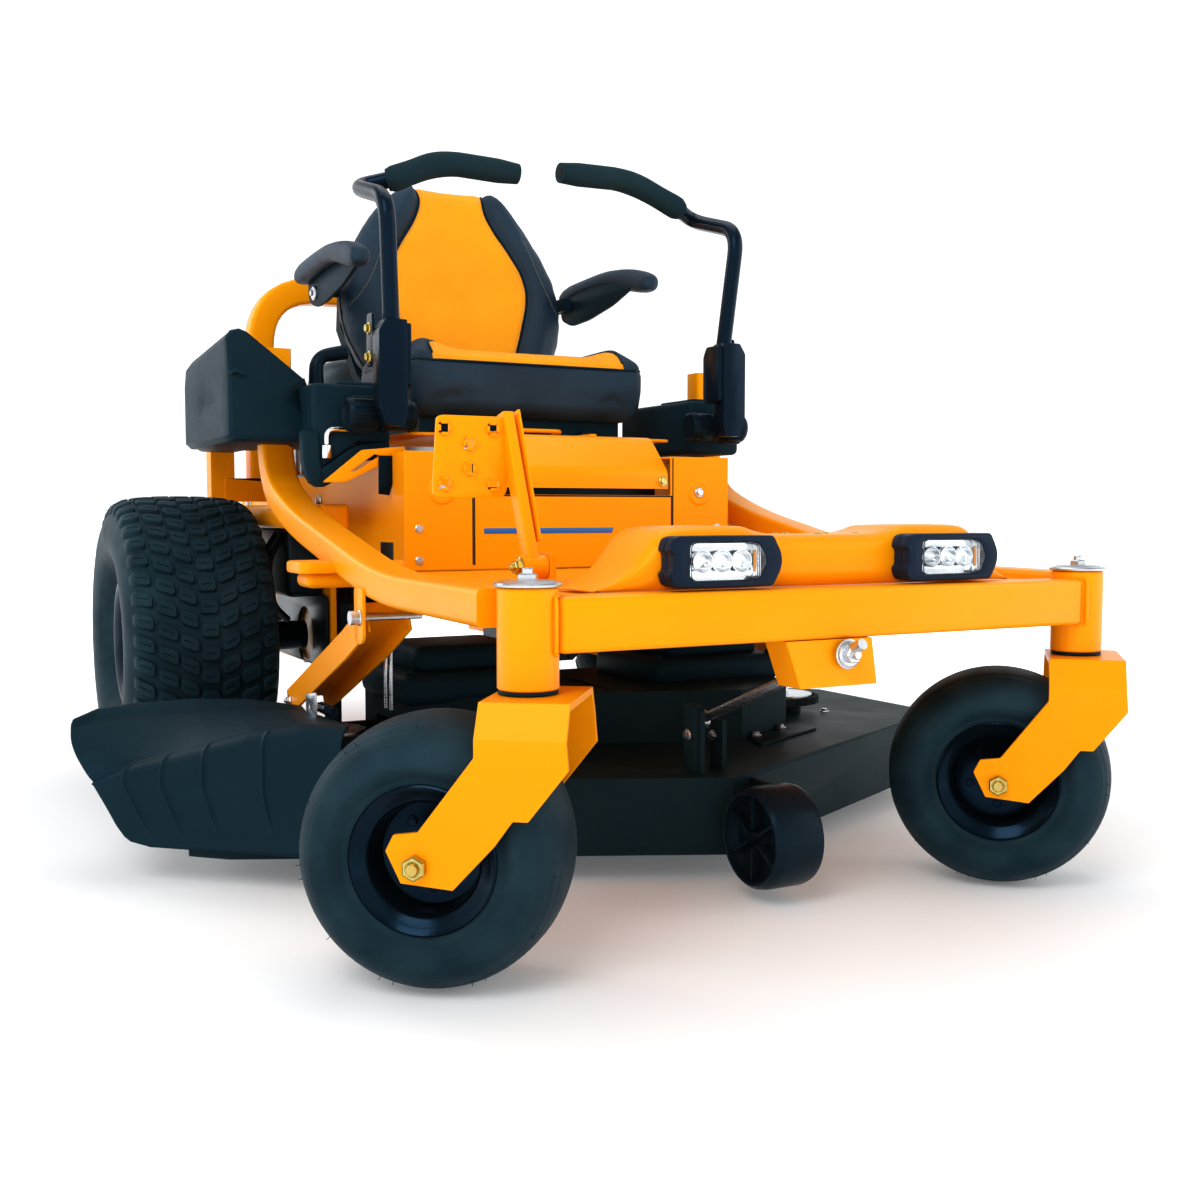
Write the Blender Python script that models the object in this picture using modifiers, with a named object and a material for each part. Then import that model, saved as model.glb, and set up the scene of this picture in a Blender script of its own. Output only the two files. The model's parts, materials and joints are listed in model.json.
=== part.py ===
"""Zero turn mower: a ride-on mower with two castors in front, two driven wheels
behind, a floating three-blade deck between them and two lap-bar levers.

Every separate piece is one object.  They are modelled in the mower's own frame
(x = 0 on the mid-plane, y = 0 through the castor pivots, z = 0 on the ground,
forward = -Y, the mower's left = +X) under one empty, which moves them so that
the world origin is the middle of the footprint.
"""
import math

import bmesh
import bpy
from mathutils import Matrix, Vector

# ---------------------------------------------------------------- driving sizes
ORIGIN_SHIFT = Vector((0.0627, -0.8810, 0.0))   # mower frame to world
GAP = 0.0005                                     # between pieces that touch

CASTOR_X = 0.388          # castor pivots, either side of the mid-plane
CASTOR_TRAIL = 0.0928
CASTOR_YAW = {"right": math.radians(52.4), "left": math.radians(45.35)}
CASTOR_R = 0.1397         # 11 x 6.00-5 tyre
CASTOR_HALF_W = 0.075
REAR_X = 0.5015           # rear wheels
REAR_Y = 1.2013
REAR_R = 0.254            # 20 x 10-8 tyre
REAR_HALF_W = 0.125

BEAM_Z = (0.339, 0.396)   # front cross beam, bottom and top
BEAM_Y = (-0.030, 0.020)
RAIL_X = (0.380, 0.430)   # side rails, inner and outer face
RAIL_DEPTH = 0.040
PAN_TOP = 0.392
PANEL_Y = 0.645           # front face of the seat box
BOX_X = 0.284             # its outer edges
BOX_TOP = 0.570

DECK_BOTTOM = 0.037
DECK_TOP = 0.138
HOUSING_TOP = 0.214
SHEET = 0.006
SPINDLES = {"centre": (0.0, 0.60), "left": (0.40, 0.65), "right": (-0.40, 0.65)}
BLADE_R = 0.198
PULLEY_R = 0.053

LEVER_AXIS_Y = 0.708
LEVER_AXIS_Z = 0.624
LEVER_DROP = 0.011            # the right lap bar is set this much lower
SEAT_LEAN = math.radians(-12.0)
ROD_X = -0.010                # the hanger rod lies in this plane
SIDES = {"left": 1, "right": -1}

PAINTS = {
    "yellow_paint": ((0.83, 0.36, 0.01), 0.35, 0.0),
    "black_paint": ((0.015, 0.017, 0.02), 0.35, 0.0),
    "tyre": ((0.02, 0.028, 0.035), 0.8, 0.0),
    "rim": ((0.01, 0.01, 0.012), 0.25, 0.2),
    "zinc": ((0.62, 0.64, 0.66), 0.3, 1.0),
    "plastic": ((0.02, 0.025, 0.03), 0.55, 0.0),
    "foam": ((0.015, 0.02, 0.026), 0.85, 0.0),
    "vinyl": ((0.02, 0.026, 0.036), 0.55, 0.0),
    "cast_alloy": ((0.45, 0.46, 0.48), 0.5, 0.8),
    "engine_black": ((0.02, 0.02, 0.02), 0.45, 0.0),
    "lamp": ((0.03, 0.035, 0.045), 0.35, 0.0),
    "belt": ((0.02, 0.02, 0.02), 0.9, 0.0),
}

for old in list(bpy.data.objects):
    bpy.data.objects.remove(old, do_unlink=True)

MODEL = bpy.data.collections.new("zero_turn_mower")
CUTTERS = bpy.data.collections.new("cutters")
for group in (MODEL, CUTTERS):
    bpy.context.scene.collection.children.link(group)


# ---------------------------------------------------------------- small helpers
def make_paints():
    """One Principled material for each finish."""
    made = {}
    for name, (colour, roughness, metallic) in PAINTS.items():
        mat = bpy.data.materials.new(name)
        mat.use_nodes = True
        shader = mat.node_tree.nodes["Principled BSDF"]
        shader.inputs["Base Color"].default_value = (*colour, 1.0)
        shader.inputs["Roughness"].default_value = roughness
        shader.inputs["Metallic"].default_value = metallic
        made[name] = mat
    return made


MATERIALS = make_paints()


def empty(name, location=(0, 0, 0), turn=(0, 0, 0), parent=None):
    """An empty that carries a group of pieces."""
    obj = bpy.data.objects.new(name, None)
    MODEL.objects.link(obj)
    obj.location = location
    obj.rotation_euler = turn
    obj.parent = parent
    return obj


MOWER = empty("mower_frame", ORIGIN_SHIFT)


def add(name, mesh, paint, parent=None, location=(0, 0, 0), turn=(0, 0, 0)):
    """Make the object of a mesh; with no paint it is a cutter."""
    obj = bpy.data.objects.new(name, mesh)
    if paint:
        MODEL.objects.link(obj)
        mesh.materials.append(MATERIALS[paint])
    else:
        CUTTERS.objects.link(obj)
        obj.hide_render = True
        obj.display_type = "WIRE"
    obj.parent = parent or MOWER
    obj.location = location
    obj.rotation_euler = turn
    return obj


def add_bmesh(name, bm, paint, parent=None, location=(0, 0, 0), turn=(0, 0, 0)):
    """Close a bmesh into an object, smooth where it is round."""
    bmesh.ops.recalc_face_normals(bm, faces=bm.faces)
    mesh = bpy.data.meshes.new(name)
    bm.to_mesh(mesh)
    bm.free()
    mesh.shade_smooth()
    mesh.set_sharp_from_angle(angle=math.radians(35))
    return add(name, mesh, paint, parent, location, turn)


def box(name, low, high, paint=None, parent=None, location=(0, 0, 0), turn=(0, 0, 0)):
    """A box between two corners."""
    bm = bmesh.new()
    bmesh.ops.create_cube(bm, size=1.0)
    low, high = Vector(low), Vector(high)
    size = high - low
    place = Matrix.Translation((low + high) / 2) @ Matrix.Diagonal((*size, 1.0))
    bmesh.ops.transform(bm, matrix=place, verts=bm.verts)
    return add_bmesh(name, bm, paint, parent, location, turn)


def rod(name, start, end, radius, paint=None, parent=None, sides=20):
    """A cylinder from one point to another."""
    start, end = Vector(start), Vector(end)
    along = end - start
    bm = bmesh.new()
    bmesh.ops.create_cone(bm, cap_ends=True, segments=sides, radius1=radius,
                          radius2=radius, depth=along.length)
    aim = along.to_track_quat("Z", "Y").to_matrix().to_4x4()
    bmesh.ops.transform(bm, matrix=Matrix.Translation((start + end) / 2) @ aim,
                        verts=bm.verts)
    return add_bmesh(name, bm, paint, parent)


def bar(name, start, end, width, depth, paint=None, parent=None):
    """A flat bar from one point to another, width across X."""
    start, end = Vector(start), Vector(end)
    along = end - start
    bm = bmesh.new()
    bmesh.ops.create_cube(bm, size=1.0)
    aim = along.to_track_quat("Z", "Y").to_matrix().to_4x4()
    place = (Matrix.Translation((start + end) / 2) @ aim
             @ Matrix.Diagonal((width, depth, along.length, 1.0)))
    bmesh.ops.transform(bm, matrix=place, verts=bm.verts)
    return add_bmesh(name, bm, paint, parent)


def curve_to_mesh(name, curve, turn=Matrix.Identity(4)):
    """The welded bmesh of a curve, turned into place."""
    obj = bpy.data.objects.new(name, curve)
    bpy.context.scene.collection.objects.link(obj)
    graph = bpy.context.evaluated_depsgraph_get()
    mesh = bpy.data.meshes.new_from_object(obj.evaluated_get(graph))
    bm = bmesh.new()
    bm.from_mesh(mesh)
    bpy.data.meshes.remove(mesh)
    bpy.data.objects.remove(obj, do_unlink=True)
    bpy.data.curves.remove(curve)
    bmesh.ops.remove_doubles(bm, verts=bm.verts, dist=1e-5)
    bmesh.ops.transform(bm, matrix=turn, verts=bm.verts)
    return bm


PLANES = {"XY": Matrix(((1, 0, 0), (0, 1, 0), (0, 0, 1))).to_4x4(),
          "YZ": Matrix(((0, 0, 1), (1, 0, 0), (0, 1, 0))).to_4x4(),
          "XZ": Matrix(((1, 0, 0), (0, 0, -1), (0, 1, 0))).to_4x4()}
NORMALS = {"XY": Vector((0, 0, 1)), "YZ": Vector((1, 0, 0)), "XZ": Vector((0, 1, 0))}


def prism(name, outline, plane, near, far, paint=None, parent=None,
          location=(0, 0, 0), turn=(0, 0, 0)):
    """A flat outline in a plane, extruded from near to far along its normal."""
    curve = bpy.data.curves.new(name, "CURVE")
    curve.dimensions = "2D"
    curve.fill_mode = "BOTH"
    curve.extrude = abs(far - near) / 2
    spline = curve.splines.new("POLY")
    spline.points.add(len(outline) - 1)
    for point, (a, b) in zip(spline.points, outline):
        point.co = (a, b, 0.0, 1.0)
    spline.use_cyclic_u = True
    middle = Matrix.Translation(NORMALS[plane] * (near + far) / 2)
    bm = curve_to_mesh(name, curve, middle @ PLANES[plane])
    return add_bmesh(name, bm, paint, parent, location, turn)


def pipe(name, points, radius, paint=None, parent=None, resolution=2):
    """A round tube along a path."""
    curve = bpy.data.curves.new(name, "CURVE")
    curve.dimensions = "3D"
    curve.bevel_depth = radius
    curve.bevel_resolution = resolution
    curve.use_fill_caps = True
    spline = curve.splines.new("POLY")
    spline.points.add(len(points) - 1)
    for point, place in zip(spline.points, points):
        point.co = (*place, 1.0)
    return add_bmesh(name, curve_to_mesh(name, curve), paint, parent)


def turned(name, profile, paint=None, parent=None, location=(0, 0, 0), turn=(0, 0, 0),
           steps=24, ring=False):
    """A profile of (radius, height) points turned about its own Z axis."""
    bm = bmesh.new()
    verts = [bm.verts.new((radius, 0.0, height)) for radius, height in profile]
    for first, second in zip(verts, verts[1:]):
        bm.edges.new((first, second))
    if ring:
        bm.edges.new((verts[-1], verts[0]))
    mesh = bpy.data.meshes.new(name)
    bm.to_mesh(mesh)
    bm.free()
    obj = add(name, mesh, paint, parent, location, turn)
    screw = obj.modifiers.new("turn", "SCREW")
    screw.axis = "Z"
    screw.angle = 2 * math.pi
    screw.steps = screw.render_steps = steps
    screw.use_merge_vertices = True
    screw.merge_threshold = 1e-5
    screw.use_smooth_shade = True
    return obj


def loft(name, rings, paint=None):
    """A closed body through rings of equally many points, capped at both ends."""
    bm = bmesh.new()
    rows = [[bm.verts.new(point) for point in ring] for ring in rings]
    for low, high in zip(rows, rows[1:]):
        for i in range(len(low)):
            bm.faces.new((low[i - 1], low[i], high[i], high[i - 1]))
    for row in (rows[0], rows[-1]):
        for i in range(1, len(row) - 1):
            bm.faces.new((row[0], row[i], row[i + 1]))
    bmesh.ops.recalc_face_normals(bm, faces=bm.faces)
    return add_bmesh(name, bm, paint)


def boolean(target, other, operation):
    """Join another solid to a piece, or cut it away."""
    mod = target.modifiers.new(operation.lower(), "BOOLEAN")
    mod.operation = operation
    mod.object = other
    return target


def cut(target, *cutters):
    for cutter in cutters:
        boolean(target, cutter, "DIFFERENCE")


def join(target, *others):
    for other in others:
        boolean(target, other, "UNION")


def soften(obj, width, segments=1):
    """Chamfer or round every edge of a piece."""
    mod = obj.modifiers.new("edges", "BEVEL")
    mod.width = width
    mod.segments = segments
    mod.limit_method = "ANGLE"
    mod.angle_limit = math.radians(30)
    return obj


def rounded(points, reach, steps=3, closed=False):
    """Replace each corner of a path by a short curve that starts reach before it."""
    points = [Vector(p) for p in points]
    count = len(points)
    path = []
    for i, corner in enumerate(points):
        if not closed and i in (0, count - 1):
            path.append(corner)
            continue
        before = points[i - 1] - corner
        after = points[(i + 1) % count] - corner
        start = corner + before.normalized() * min(reach, before.length * 0.49)
        end = corner + after.normalized() * min(reach, after.length * 0.49)
        for step in range(steps + 1):
            t = step / steps
            path.append(start * (1 - t) ** 2 + corner * 2 * t * (1 - t) + end * t ** 2)
    return [tuple(p) for p in path]


def band(path, width):
    """The outline of a strip of even width along an open path in a plane."""
    path = [Vector(p) for p in path]
    left, right = [], []
    for i, point in enumerate(path):
        before = (point - path[i - 1]).normalized() if i else None
        after = (path[i + 1] - point).normalized() if i < len(path) - 1 else None
        along = ((before or after) + (after or before)).normalized()
        across = Vector((-along.y, along.x))
        stretch = 1.0 / max(0.3, along.dot(after or before))
        left.append(tuple(point + across * width / 2 * stretch))
        right.append(tuple(point - across * width / 2 * stretch))
    return left + right[::-1]


def loop_around(centres, radius, steps=8):
    """The outline of a belt pulled round equal circles, centres anticlockwise."""
    outline = []
    count = len(centres)
    for i, centre in enumerate(centres):
        here = Vector(centre)
        came = here - Vector(centres[i - 1])
        goes = Vector(centres[(i + 1) % count]) - here
        first = math.atan2(came.y, came.x) - math.pi / 2
        last = math.atan2(goes.y, goes.x) - math.pi / 2
        while last < first:
            last += 2 * math.pi
        for step in range(steps + 1):
            angle = first + (last - first) * step / steps
            outline.append((here.x + radius * math.cos(angle), here.y + radius * math.sin(angle)))
    return outline


def mirrored(outline, side):
    """An outline in X and something else, mirrored for the right side."""
    return [(a * side, b) for a, b in outline]


# ---------------------------------------------------------------- chassis
def front_beam():
    """Square cross beam with a castor tube welded to each end."""
    beam = box("front_beam", (-0.362, BEAM_Y[0], BEAM_Z[0]), (0.362, BEAM_Y[1], BEAM_Z[1]),
               "yellow_paint")
    for side in SIDES.values():
        x = CASTOR_X * side
        join(beam, rod("head_tube", (x, 0, 0.303), (x, 0, 0.405), 0.0315, sides=24))
        cut(beam, rod("head_bore", (x, 0, 0.28), (x, 0, 0.43), 0.0146, sides=16))


def side_rails():
    """Arm behind each castor, S-bend up to a post, and the run behind the post."""
    climb = rounded([(0.0325, 0.383), (0.36, 0.386), (0.77, 0.470), (0.912, 0.53),
                     (0.912, 0.738)], 0.09, 3)
    for name, side in SIDES.items():
        inner, outer = RAIL_X[0] * side, RAIL_X[1] * side
        rail = prism("side_rail_" + name, band(climb, RAIL_DEPTH), "YZ", inner, outer,
                     "yellow_paint")
        low, high = sorted((0.325 * side, 0.370 * side))
        join(rail, box("rail_run", (low, 0.780, 0.452), (high, 1.3845, 0.492)))
        low, high = sorted((0.350 * side, 0.410 * side))
        join(rail, box("rail_step", (low, 0.785, 0.456), (high, 0.855, 0.488)))


def rear_frame():
    """Engine plate, its cross bar, two hanging axle plates and the rear bumper."""
    frame = box("rear_frame", (-0.3795, 1.385, 0.500), (0.3795, 1.435, 0.545), "yellow_paint")
    join(frame, box("engine_plate", (-0.267, 1.07, 0.536), (0.267, 1.70, 0.543)))
    for side in SIDES.values():
        low, high = sorted((0.262 * side, 0.272 * side))
        join(frame, box("axle_plate", (low, 1.06, 0.200), (high, 1.72, 0.5445)))
        low, high = sorted((0.360 * side, 0.405 * side))
        join(frame, box("rear_post", (low, 1.390, 0.440), (high, 1.430, 0.598)))
    join(frame, box("bumper", (-0.30, 1.712, 0.33), (0.30, 1.752, 0.39)))


def rear_hoop():
    """Guard hoop behind the seat."""
    path = rounded([(-0.3045, 0.5455), (-0.3045, 0.9165), (0.3045, 0.9165), (0.3045, 0.5455)], 0.12,
                   5)
    prism("rear_hoop", band(path, 0.050), "XZ", 1.386, 1.434, "yellow_paint")


def foot_pan():
    """Floor plate with the pedal's pivot ear."""
    pan = box("foot_pan", (-0.3795, 0.0330, 0.386), (0.3795, 0.640, PAN_TOP), "yellow_paint")
    join(pan, box("pedal_ear", (-0.272, 0.185, 0.388), (-0.264, 0.215, 0.432)))


COWL = [(-0.296, 0.3965), (-0.250, 0.426), (-0.222, 0.464), (-0.105, 0.466), (-0.075, 0.455),
        (0.075, 0.455), (0.105, 0.466), (0.222, 0.464), (0.250, 0.426), (0.296, 0.3965)]
COWL_FRONT, COWL_BACK = 0.010, 0.125


def front_cowl():
    """Pressed cover on the beam, open behind and below."""
    cowl = prism("front_cowl", COWL, "XZ", COWL_FRONT, COWL_BACK, "yellow_paint")
    inside = [(x * 0.975, z - 0.004) for x, z in COWL]
    cut(cowl, prism("cowl_hollow", inside, "XZ", COWL_FRONT + 0.004, COWL_BACK + 0.05))


def headlights():
    """Octagonal lamp housings on the front of the cowl."""
    half_w, half_h, corner = 0.072, 0.0275, 0.014
    for name, side in SIDES.items():
        x, z = 0.16 * side, 0.4275
        outline = [(x - half_w, z - half_h + corner), (x - half_w + corner, z - half_h),
                   (x + half_w - corner, z - half_h), (x + half_w, z - half_h + corner),
                   (x + half_w, z + half_h - corner), (x + half_w - corner, z + half_h),
                   (x - half_w + corner, z + half_h), (x - half_w, z + half_h - corner)]
        prism("headlight_" + name, outline, "XZ", COWL_FRONT - 0.028, COWL_FRONT - GAP, "lamp")


def seat_box():
    """Folded sheet box under the seat: a front panel and two side boxes."""
    panel = box("seat_box", (-BOX_X, PANEL_Y, 0.3925), (BOX_X, 1.05, BOX_TOP), "yellow_paint")
    cut(panel,
        box("box_hollow", (-BOX_X + 0.004, PANEL_Y + 0.004, 0.38), (BOX_X - 0.004, 1.06, 0.566)),
        box("platform_gap", (-0.172, 0.60, 0.507), (0.172, 1.10, 0.60)))


CONSOLE_FOOT = [(-0.376, 0.590), (-0.376, 0.545), (-0.368, 0.536), (-0.322, 0.565), (-0.290, 0.590)]


def tank_and_consoles():
    """Moulded fuel tank over the right tyre, and the black console under each lever."""
    front_view = [(-0.500, 0.586), (-0.500, 0.742), (-0.470, 0.757), (-0.374, 0.680),
                  (-0.388, 0.586)]
    tank = prism("fuel_tank", front_view, "XZ", 0.800, 1.130, "plastic")
    soften(tank, 0.012)
    join(tank, box("tank_rear", (-0.445, 1.10, 0.592), (-0.357, 1.360, 0.700)),
         box("console_base", (-0.392, 0.742, 0.582), (-0.270, 0.990, 0.672)),
         prism("console_foot", CONSOLE_FOOT, "XZ", 0.7425, 0.790))
    post = (RAIL_X[0] - 0.002, RAIL_X[1] + 0.002)
    cut(tank, box("post_pocket", (-post[1], 0.868, 0.55), (-post[0], 0.940, 0.742)))
    box("console_left", (0.270, 0.742, 0.580), (0.372, 0.990, 0.672), "plastic")


def front_hanger():
    """Channel under the beam that the deck hangs from in front."""
    outline = [(-0.090, 0.3385), (-0.070, 0.285), (0.038, 0.285), (0.030, 0.3385)]
    hanger = prism("front_hanger", outline, "XZ", -0.028, 0.014, "yellow_paint")
    cut(hanger, box("hanger_hollow", (-0.066, -0.023, 0.25), (0.026, 0.05, 0.334)),
        rod("hanger_slot", (ROD_X, -0.05, 0.322), (ROD_X, 0.0, 0.322), 0.0095))


# ---------------------------------------------------------------- engine and drive
def engine():
    """Upright V-twin: crankcase and two finned cylinders, cooling shroud, silencer."""
    centre_y = 1.52
    block = rod("engine_block", (0, centre_y, 0.5455), (0, centre_y, 0.655), 0.125, "cast_alloy",
                sides=20)
    for side in SIDES.values():
        barrel = box("barrel", (-0.055, 0.06, 0.565), (0.055, 0.200, 0.650), None,
                     location=(0, centre_y, 0), turn=(0, 0, math.radians(-48) * side))
        join(block, barrel)
    cut(block, rod("crank_bore", (0, centre_y, 0.53), (0, centre_y, 0.56), 0.020, sides=12))
    dome = [(0.0, 0.800), (0.11, 0.800), (0.150, 0.785), (0.172, 0.750), (0.175, 0.656),
            (0.168, 0.656), (0.165, 0.745), (0.145, 0.776), (0.11, 0.792), (0.0, 0.792)]
    turned("engine_shroud", dome, "engine_black", location=(0, centre_y, 0), steps=20)
    rod("muffler", (-0.17, 1.795, 0.47), (0.17, 1.795, 0.47), 0.055, "engine_black", sides=18)
    guard = band(rounded([(1.735, 0.545), (1.862, 0.545), (1.862, 0.40)], 0.03), 0.004)
    prism("muffler_guard", guard, "YZ", -0.20, 0.20, "black_paint")
    cut(bpy.data.objects["rear_frame"],
        rod("crank_hole", (0, centre_y, 0.50), (0, centre_y, 0.56), 0.030, sides=16))
    pulley = [(0.0, 0.559), (0.0145, 0.559), (0.0145, 0.300), (0.070, 0.300), (0.070, 0.268),
              (0.0, 0.268)]
    turned("engine_pulley", pulley, "zinc", location=(0, centre_y, 0), steps=20)


def transaxles():
    """One hydrostatic transaxle inside each axle plate."""
    for name, side in SIDES.items():
        low, high = sorted((0.115 * side, 0.2615 * side))
        case = box("transaxle_" + name, (low, 1.11, 0.185), (high, 1.31, 0.335), "cast_alloy")
        soften(case, 0.020)
        join(case, rod("pump", (0.19 * side, 1.15, 0.32), (0.19 * side, 1.15, 0.40), 0.045,
                       sides=16))


def rear_wheels():
    """Dished rim with its axle stub, and a wide turf tyre."""
    rim = [(0.0, 0.000), (0.045, 0.000), (0.048, -0.010), (0.088, -0.012), (0.092, 0.085),
           (0.113, 0.0975), (0.116, 0.0925), (0.1014, 0.084), (0.0975, 0.030),
           (0.0975, -0.030), (0.1014, -0.084), (0.116, -0.0925), (0.113, -0.0975),
           (0.092, -0.085), (0.086, -0.024), (0.030, -0.026), (0.026, -0.2205), (0.0, -0.2205)]
    outside = [(0.1024, 0.084), (0.123, 0.091), (0.150, 0.118), (0.185, REAR_HALF_W), (0.222, 0.117),
               (0.247, 0.095), (REAR_R, 0.0)]
    inside = [(0.238, 0.0), (0.215, 0.098), (0.180, 0.110), (0.1024, 0.068)]
    for name, side in SIDES.items():
        place = (REAR_X * side, REAR_Y, REAR_R)
        facing = (0, math.radians(90) * side, 0)
        turned("rear_rim_" + name, rim, "rim", location=place, turn=facing, steps=20)
        turned("rear_tyre_" + name, whole_section(outside, inside), "tyre", location=place,
               turn=facing, steps=26, ring=True)


def whole_section(outside, inside):
    """A tyre's closed section from its upper half: outer face down, inner face up."""
    down = outside + [(r, -z) for r, z in outside[-2::-1]]
    up = [(r, -z) for r, z in inside[::-1]] + inside[1:]
    return down + up


# ---------------------------------------------------------------- front castors
def castors():
    """Fork, spindle, axle bolt, rim and tyre of each castor, trailing along local +Y."""
    leg = [(0.298, -0.055), (0.298, 0.035), (0.247, 0.035), (0.173, 0.091), (0.170, 0.115),
           (0.154, 0.123), (0.123, 0.108), (0.118, 0.056), (0.162, 0.015), (0.187, -0.003),
           (0.187, -0.018), (0.237, -0.057), (0.262, -0.055)]
    leg = [(s, z) for z, s in leg]
    crown_gap = [(-0.079, 0.05), (0.079, 0.05), (0.079, 0.263), (0.0625, 0.2905),
                 (-0.0625, 0.2905), (-0.079, 0.263)]
    spindle = [(0.0, 0.425), (0.0085, 0.425), (0.0085, 0.4125), (0.034, 0.4115),
               (0.034, 0.4055), (0.0140, 0.4055), (0.0140, 0.3025), (0.031, 0.3025),
               (0.031, 0.2985), (0.0, 0.2985)]
    bolt = [(0.0, 0.096), (0.013, 0.096), (0.013, 0.0855), (0.0080, 0.0855),
            (0.0080, -0.0855), (0.013, -0.0855), (0.013, -0.100), (0.0, -0.100)]
    rim = [(0.0086, 0.0775), (0.018, 0.0775), (0.018, 0.024), (0.052, 0.022), (0.056, 0.056),
           (0.073, 0.067), (0.0755, 0.063), (0.0633, 0.056), (0.0605, 0.0), (0.0633, -0.056),
           (0.0755, -0.063), (0.073, -0.067), (0.056, -0.056), (0.052, 0.014), (0.018, 0.012),
           (0.018, -0.0775), (0.0086, -0.0775)]
    outside = [(0.0641, 0.056), (0.079, 0.063), (0.098, CASTOR_HALF_W), (0.120, 0.068),
               (0.134, 0.048), (CASTOR_R, 0.0)]
    inside = [(0.130, 0.0), (0.122, 0.050), (0.098, 0.064), (0.0641, 0.044)]
    wheel_z = CASTOR_R
    for name, side in SIDES.items():
        pivot = empty("castor_" + name, (CASTOR_X * side, 0, 0), (0, 0, CASTOR_YAW[name]), MOWER)
        fork = prism("castor_fork_" + name, leg, "YZ", -0.085, 0.085, "yellow_paint", pivot)
        cut(fork, prism("crown_gap", crown_gap, "XZ", -0.2, 0.3, None, pivot))
        for edge in (-1, 1):
            corner = mirrored([(0.0645, 0.2985), (0.0855, 0.264), (0.09, 0.30)], edge)
            cut(fork, prism("crown_corner", corner, "XZ", -0.2, 0.3, None, pivot))
        cut(fork, rod("axle_hole", (-0.12, CASTOR_TRAIL, wheel_z), (0.12, CASTOR_TRAIL, wheel_z),
                      0.0086, None, pivot, sides=12))
        turned("castor_spindle_" + name, spindle, "zinc", pivot, steps=14)
        place = (0, CASTOR_TRAIL, wheel_z)
        across = (0, math.radians(90), 0)
        turned("castor_axle_" + name, bolt, "zinc", pivot, place, across, steps=12)
        turned("castor_rim_" + name, rim, "rim", pivot, place, across, steps=16, ring=True)
        turned("castor_tyre_" + name, whole_section(outside, inside), "tyre", pivot, place,
               across, steps=24, ring=True)


# ---------------------------------------------------------------- cutting deck
DECK_OUTLINE = [(0.0, 0.205), (0.58, 0.489), (0.622, 0.53), (0.622, 0.83), (0.57, 0.885),
                (0.24, 0.885), (0.10, 0.838), (-0.10, 0.838), (-0.24, 0.885), (-0.57, 0.885),
                (-0.622, 0.83), (-0.622, 0.53), (-0.58, 0.489)]
HOUSING = [(0.17, 0.434), (0.30, 0.50), (0.30, 0.79), (-0.30, 0.79), (-0.30, 0.56),
           (-0.06, 0.515)]


def shrunk(outline, centre, by):
    """An outline moved in towards a centre by about a sheet's thickness."""
    moved = []
    for x, y in outline:
        away = Vector((x, y)) - Vector(centre)
        scale = (away.length - by) / away.length
        moved.append((centre[0] + away.x * scale, centre[1] + away.y * scale))
    return moved


def deck():
    """Fabricated shell with a raised middle, spindle housings and hanger brackets."""
    shell = prism("deck_shell", DECK_OUTLINE, "XY", DECK_BOTTOM, DECK_TOP, "black_paint")
    join(shell, prism("housing", HOUSING, "XY", DECK_TOP - 0.01, HOUSING_TOP))
    for x, y in SPINDLES.values():
        join(shell, rod("spindle_housing", (x, y, 0.12), (x, y, 0.146), 0.034, sides=16))
    for side in SIDES.values():
        low, high = sorted((0.352 * side, 0.358 * side))
        join(shell, box("rear_bracket", (low, 0.745, DECK_TOP - 0.003), (high, 0.815, 0.225)))
    join(shell, box("front_bracket", (-0.026, 0.242, DECK_TOP - 0.003), (-0.020, 0.284, 0.222)),
         box("chute_lug", (-0.463, 0.455, DECK_TOP - 0.003), (-0.453, 0.560, 0.205)))
    join(shell, box("roller_tab", (0.041, 0.105, 0.055), (0.047, 0.30, 0.130)))
    centre = (0.0, 0.58)
    cut(shell, prism("deck_hollow", shrunk(DECK_OUTLINE, centre, 0.008), "XY", 0.0,
                     DECK_TOP - SHEET),
        prism("housing_hollow", shrunk(HOUSING, (0.0, 0.62), 0.008), "XY", DECK_TOP,
              HOUSING_TOP - SHEET),
        box("belt_openings", (-0.35, 0.550, 0.144), (0.35, 0.735, 0.172)),
        box("discharge", (-0.70, 0.535, 0.0), (-0.60, 0.80, 0.128)))
    for x, y in SPINDLES.values():
        cut(shell, rod("spindle_bore", (x, y, 0.0), (x, y, 0.30), 0.0130, sides=12))


def spindles():
    """Pulley and shaft of each spindle with the blade bolted under it."""
    shaft = [(0.0, 0.178), (0.012, 0.178), (0.012, 0.168), (PULLEY_R, 0.168),
             (PULLEY_R, 0.150), (0.0122, 0.150), (0.0122, 0.082), (0.024, 0.080),
             (0.024, 0.052), (0.0, 0.052)]
    for name, (x, y) in SPINDLES.items():
        piece = turned("blade_spindle_" + name, shaft, "zinc", location=(x, y, 0), steps=16)
        join(piece, box("blade", (x - BLADE_R, y - 0.028, 0.060), (x + BLADE_R, y + 0.028, 0.066)))
    route = list(SPINDLES.values())
    belt = prism("deck_belt", loop_around(route, PULLEY_R + 0.011), "XY", 0.153, 0.165, "belt")
    cut(belt, prism("belt_hollow", loop_around(route, PULLEY_R + 0.003), "XY", 0.12, 0.20))


def anti_scalp_roller():
    """Hollow-faced wheel in front of the deck's nose."""
    section = [(0.0, 0.010), (0.050, 0.020), (0.056, 0.036), (0.0635, 0.024), (0.0635, -0.024),
               (0.056, -0.036), (0.0, -0.036)]
    turned("deck_roller", section, "plastic", location=(0.0, 0.121, 0.080),
           turn=(0, math.radians(-90), 0), steps=24)


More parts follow.
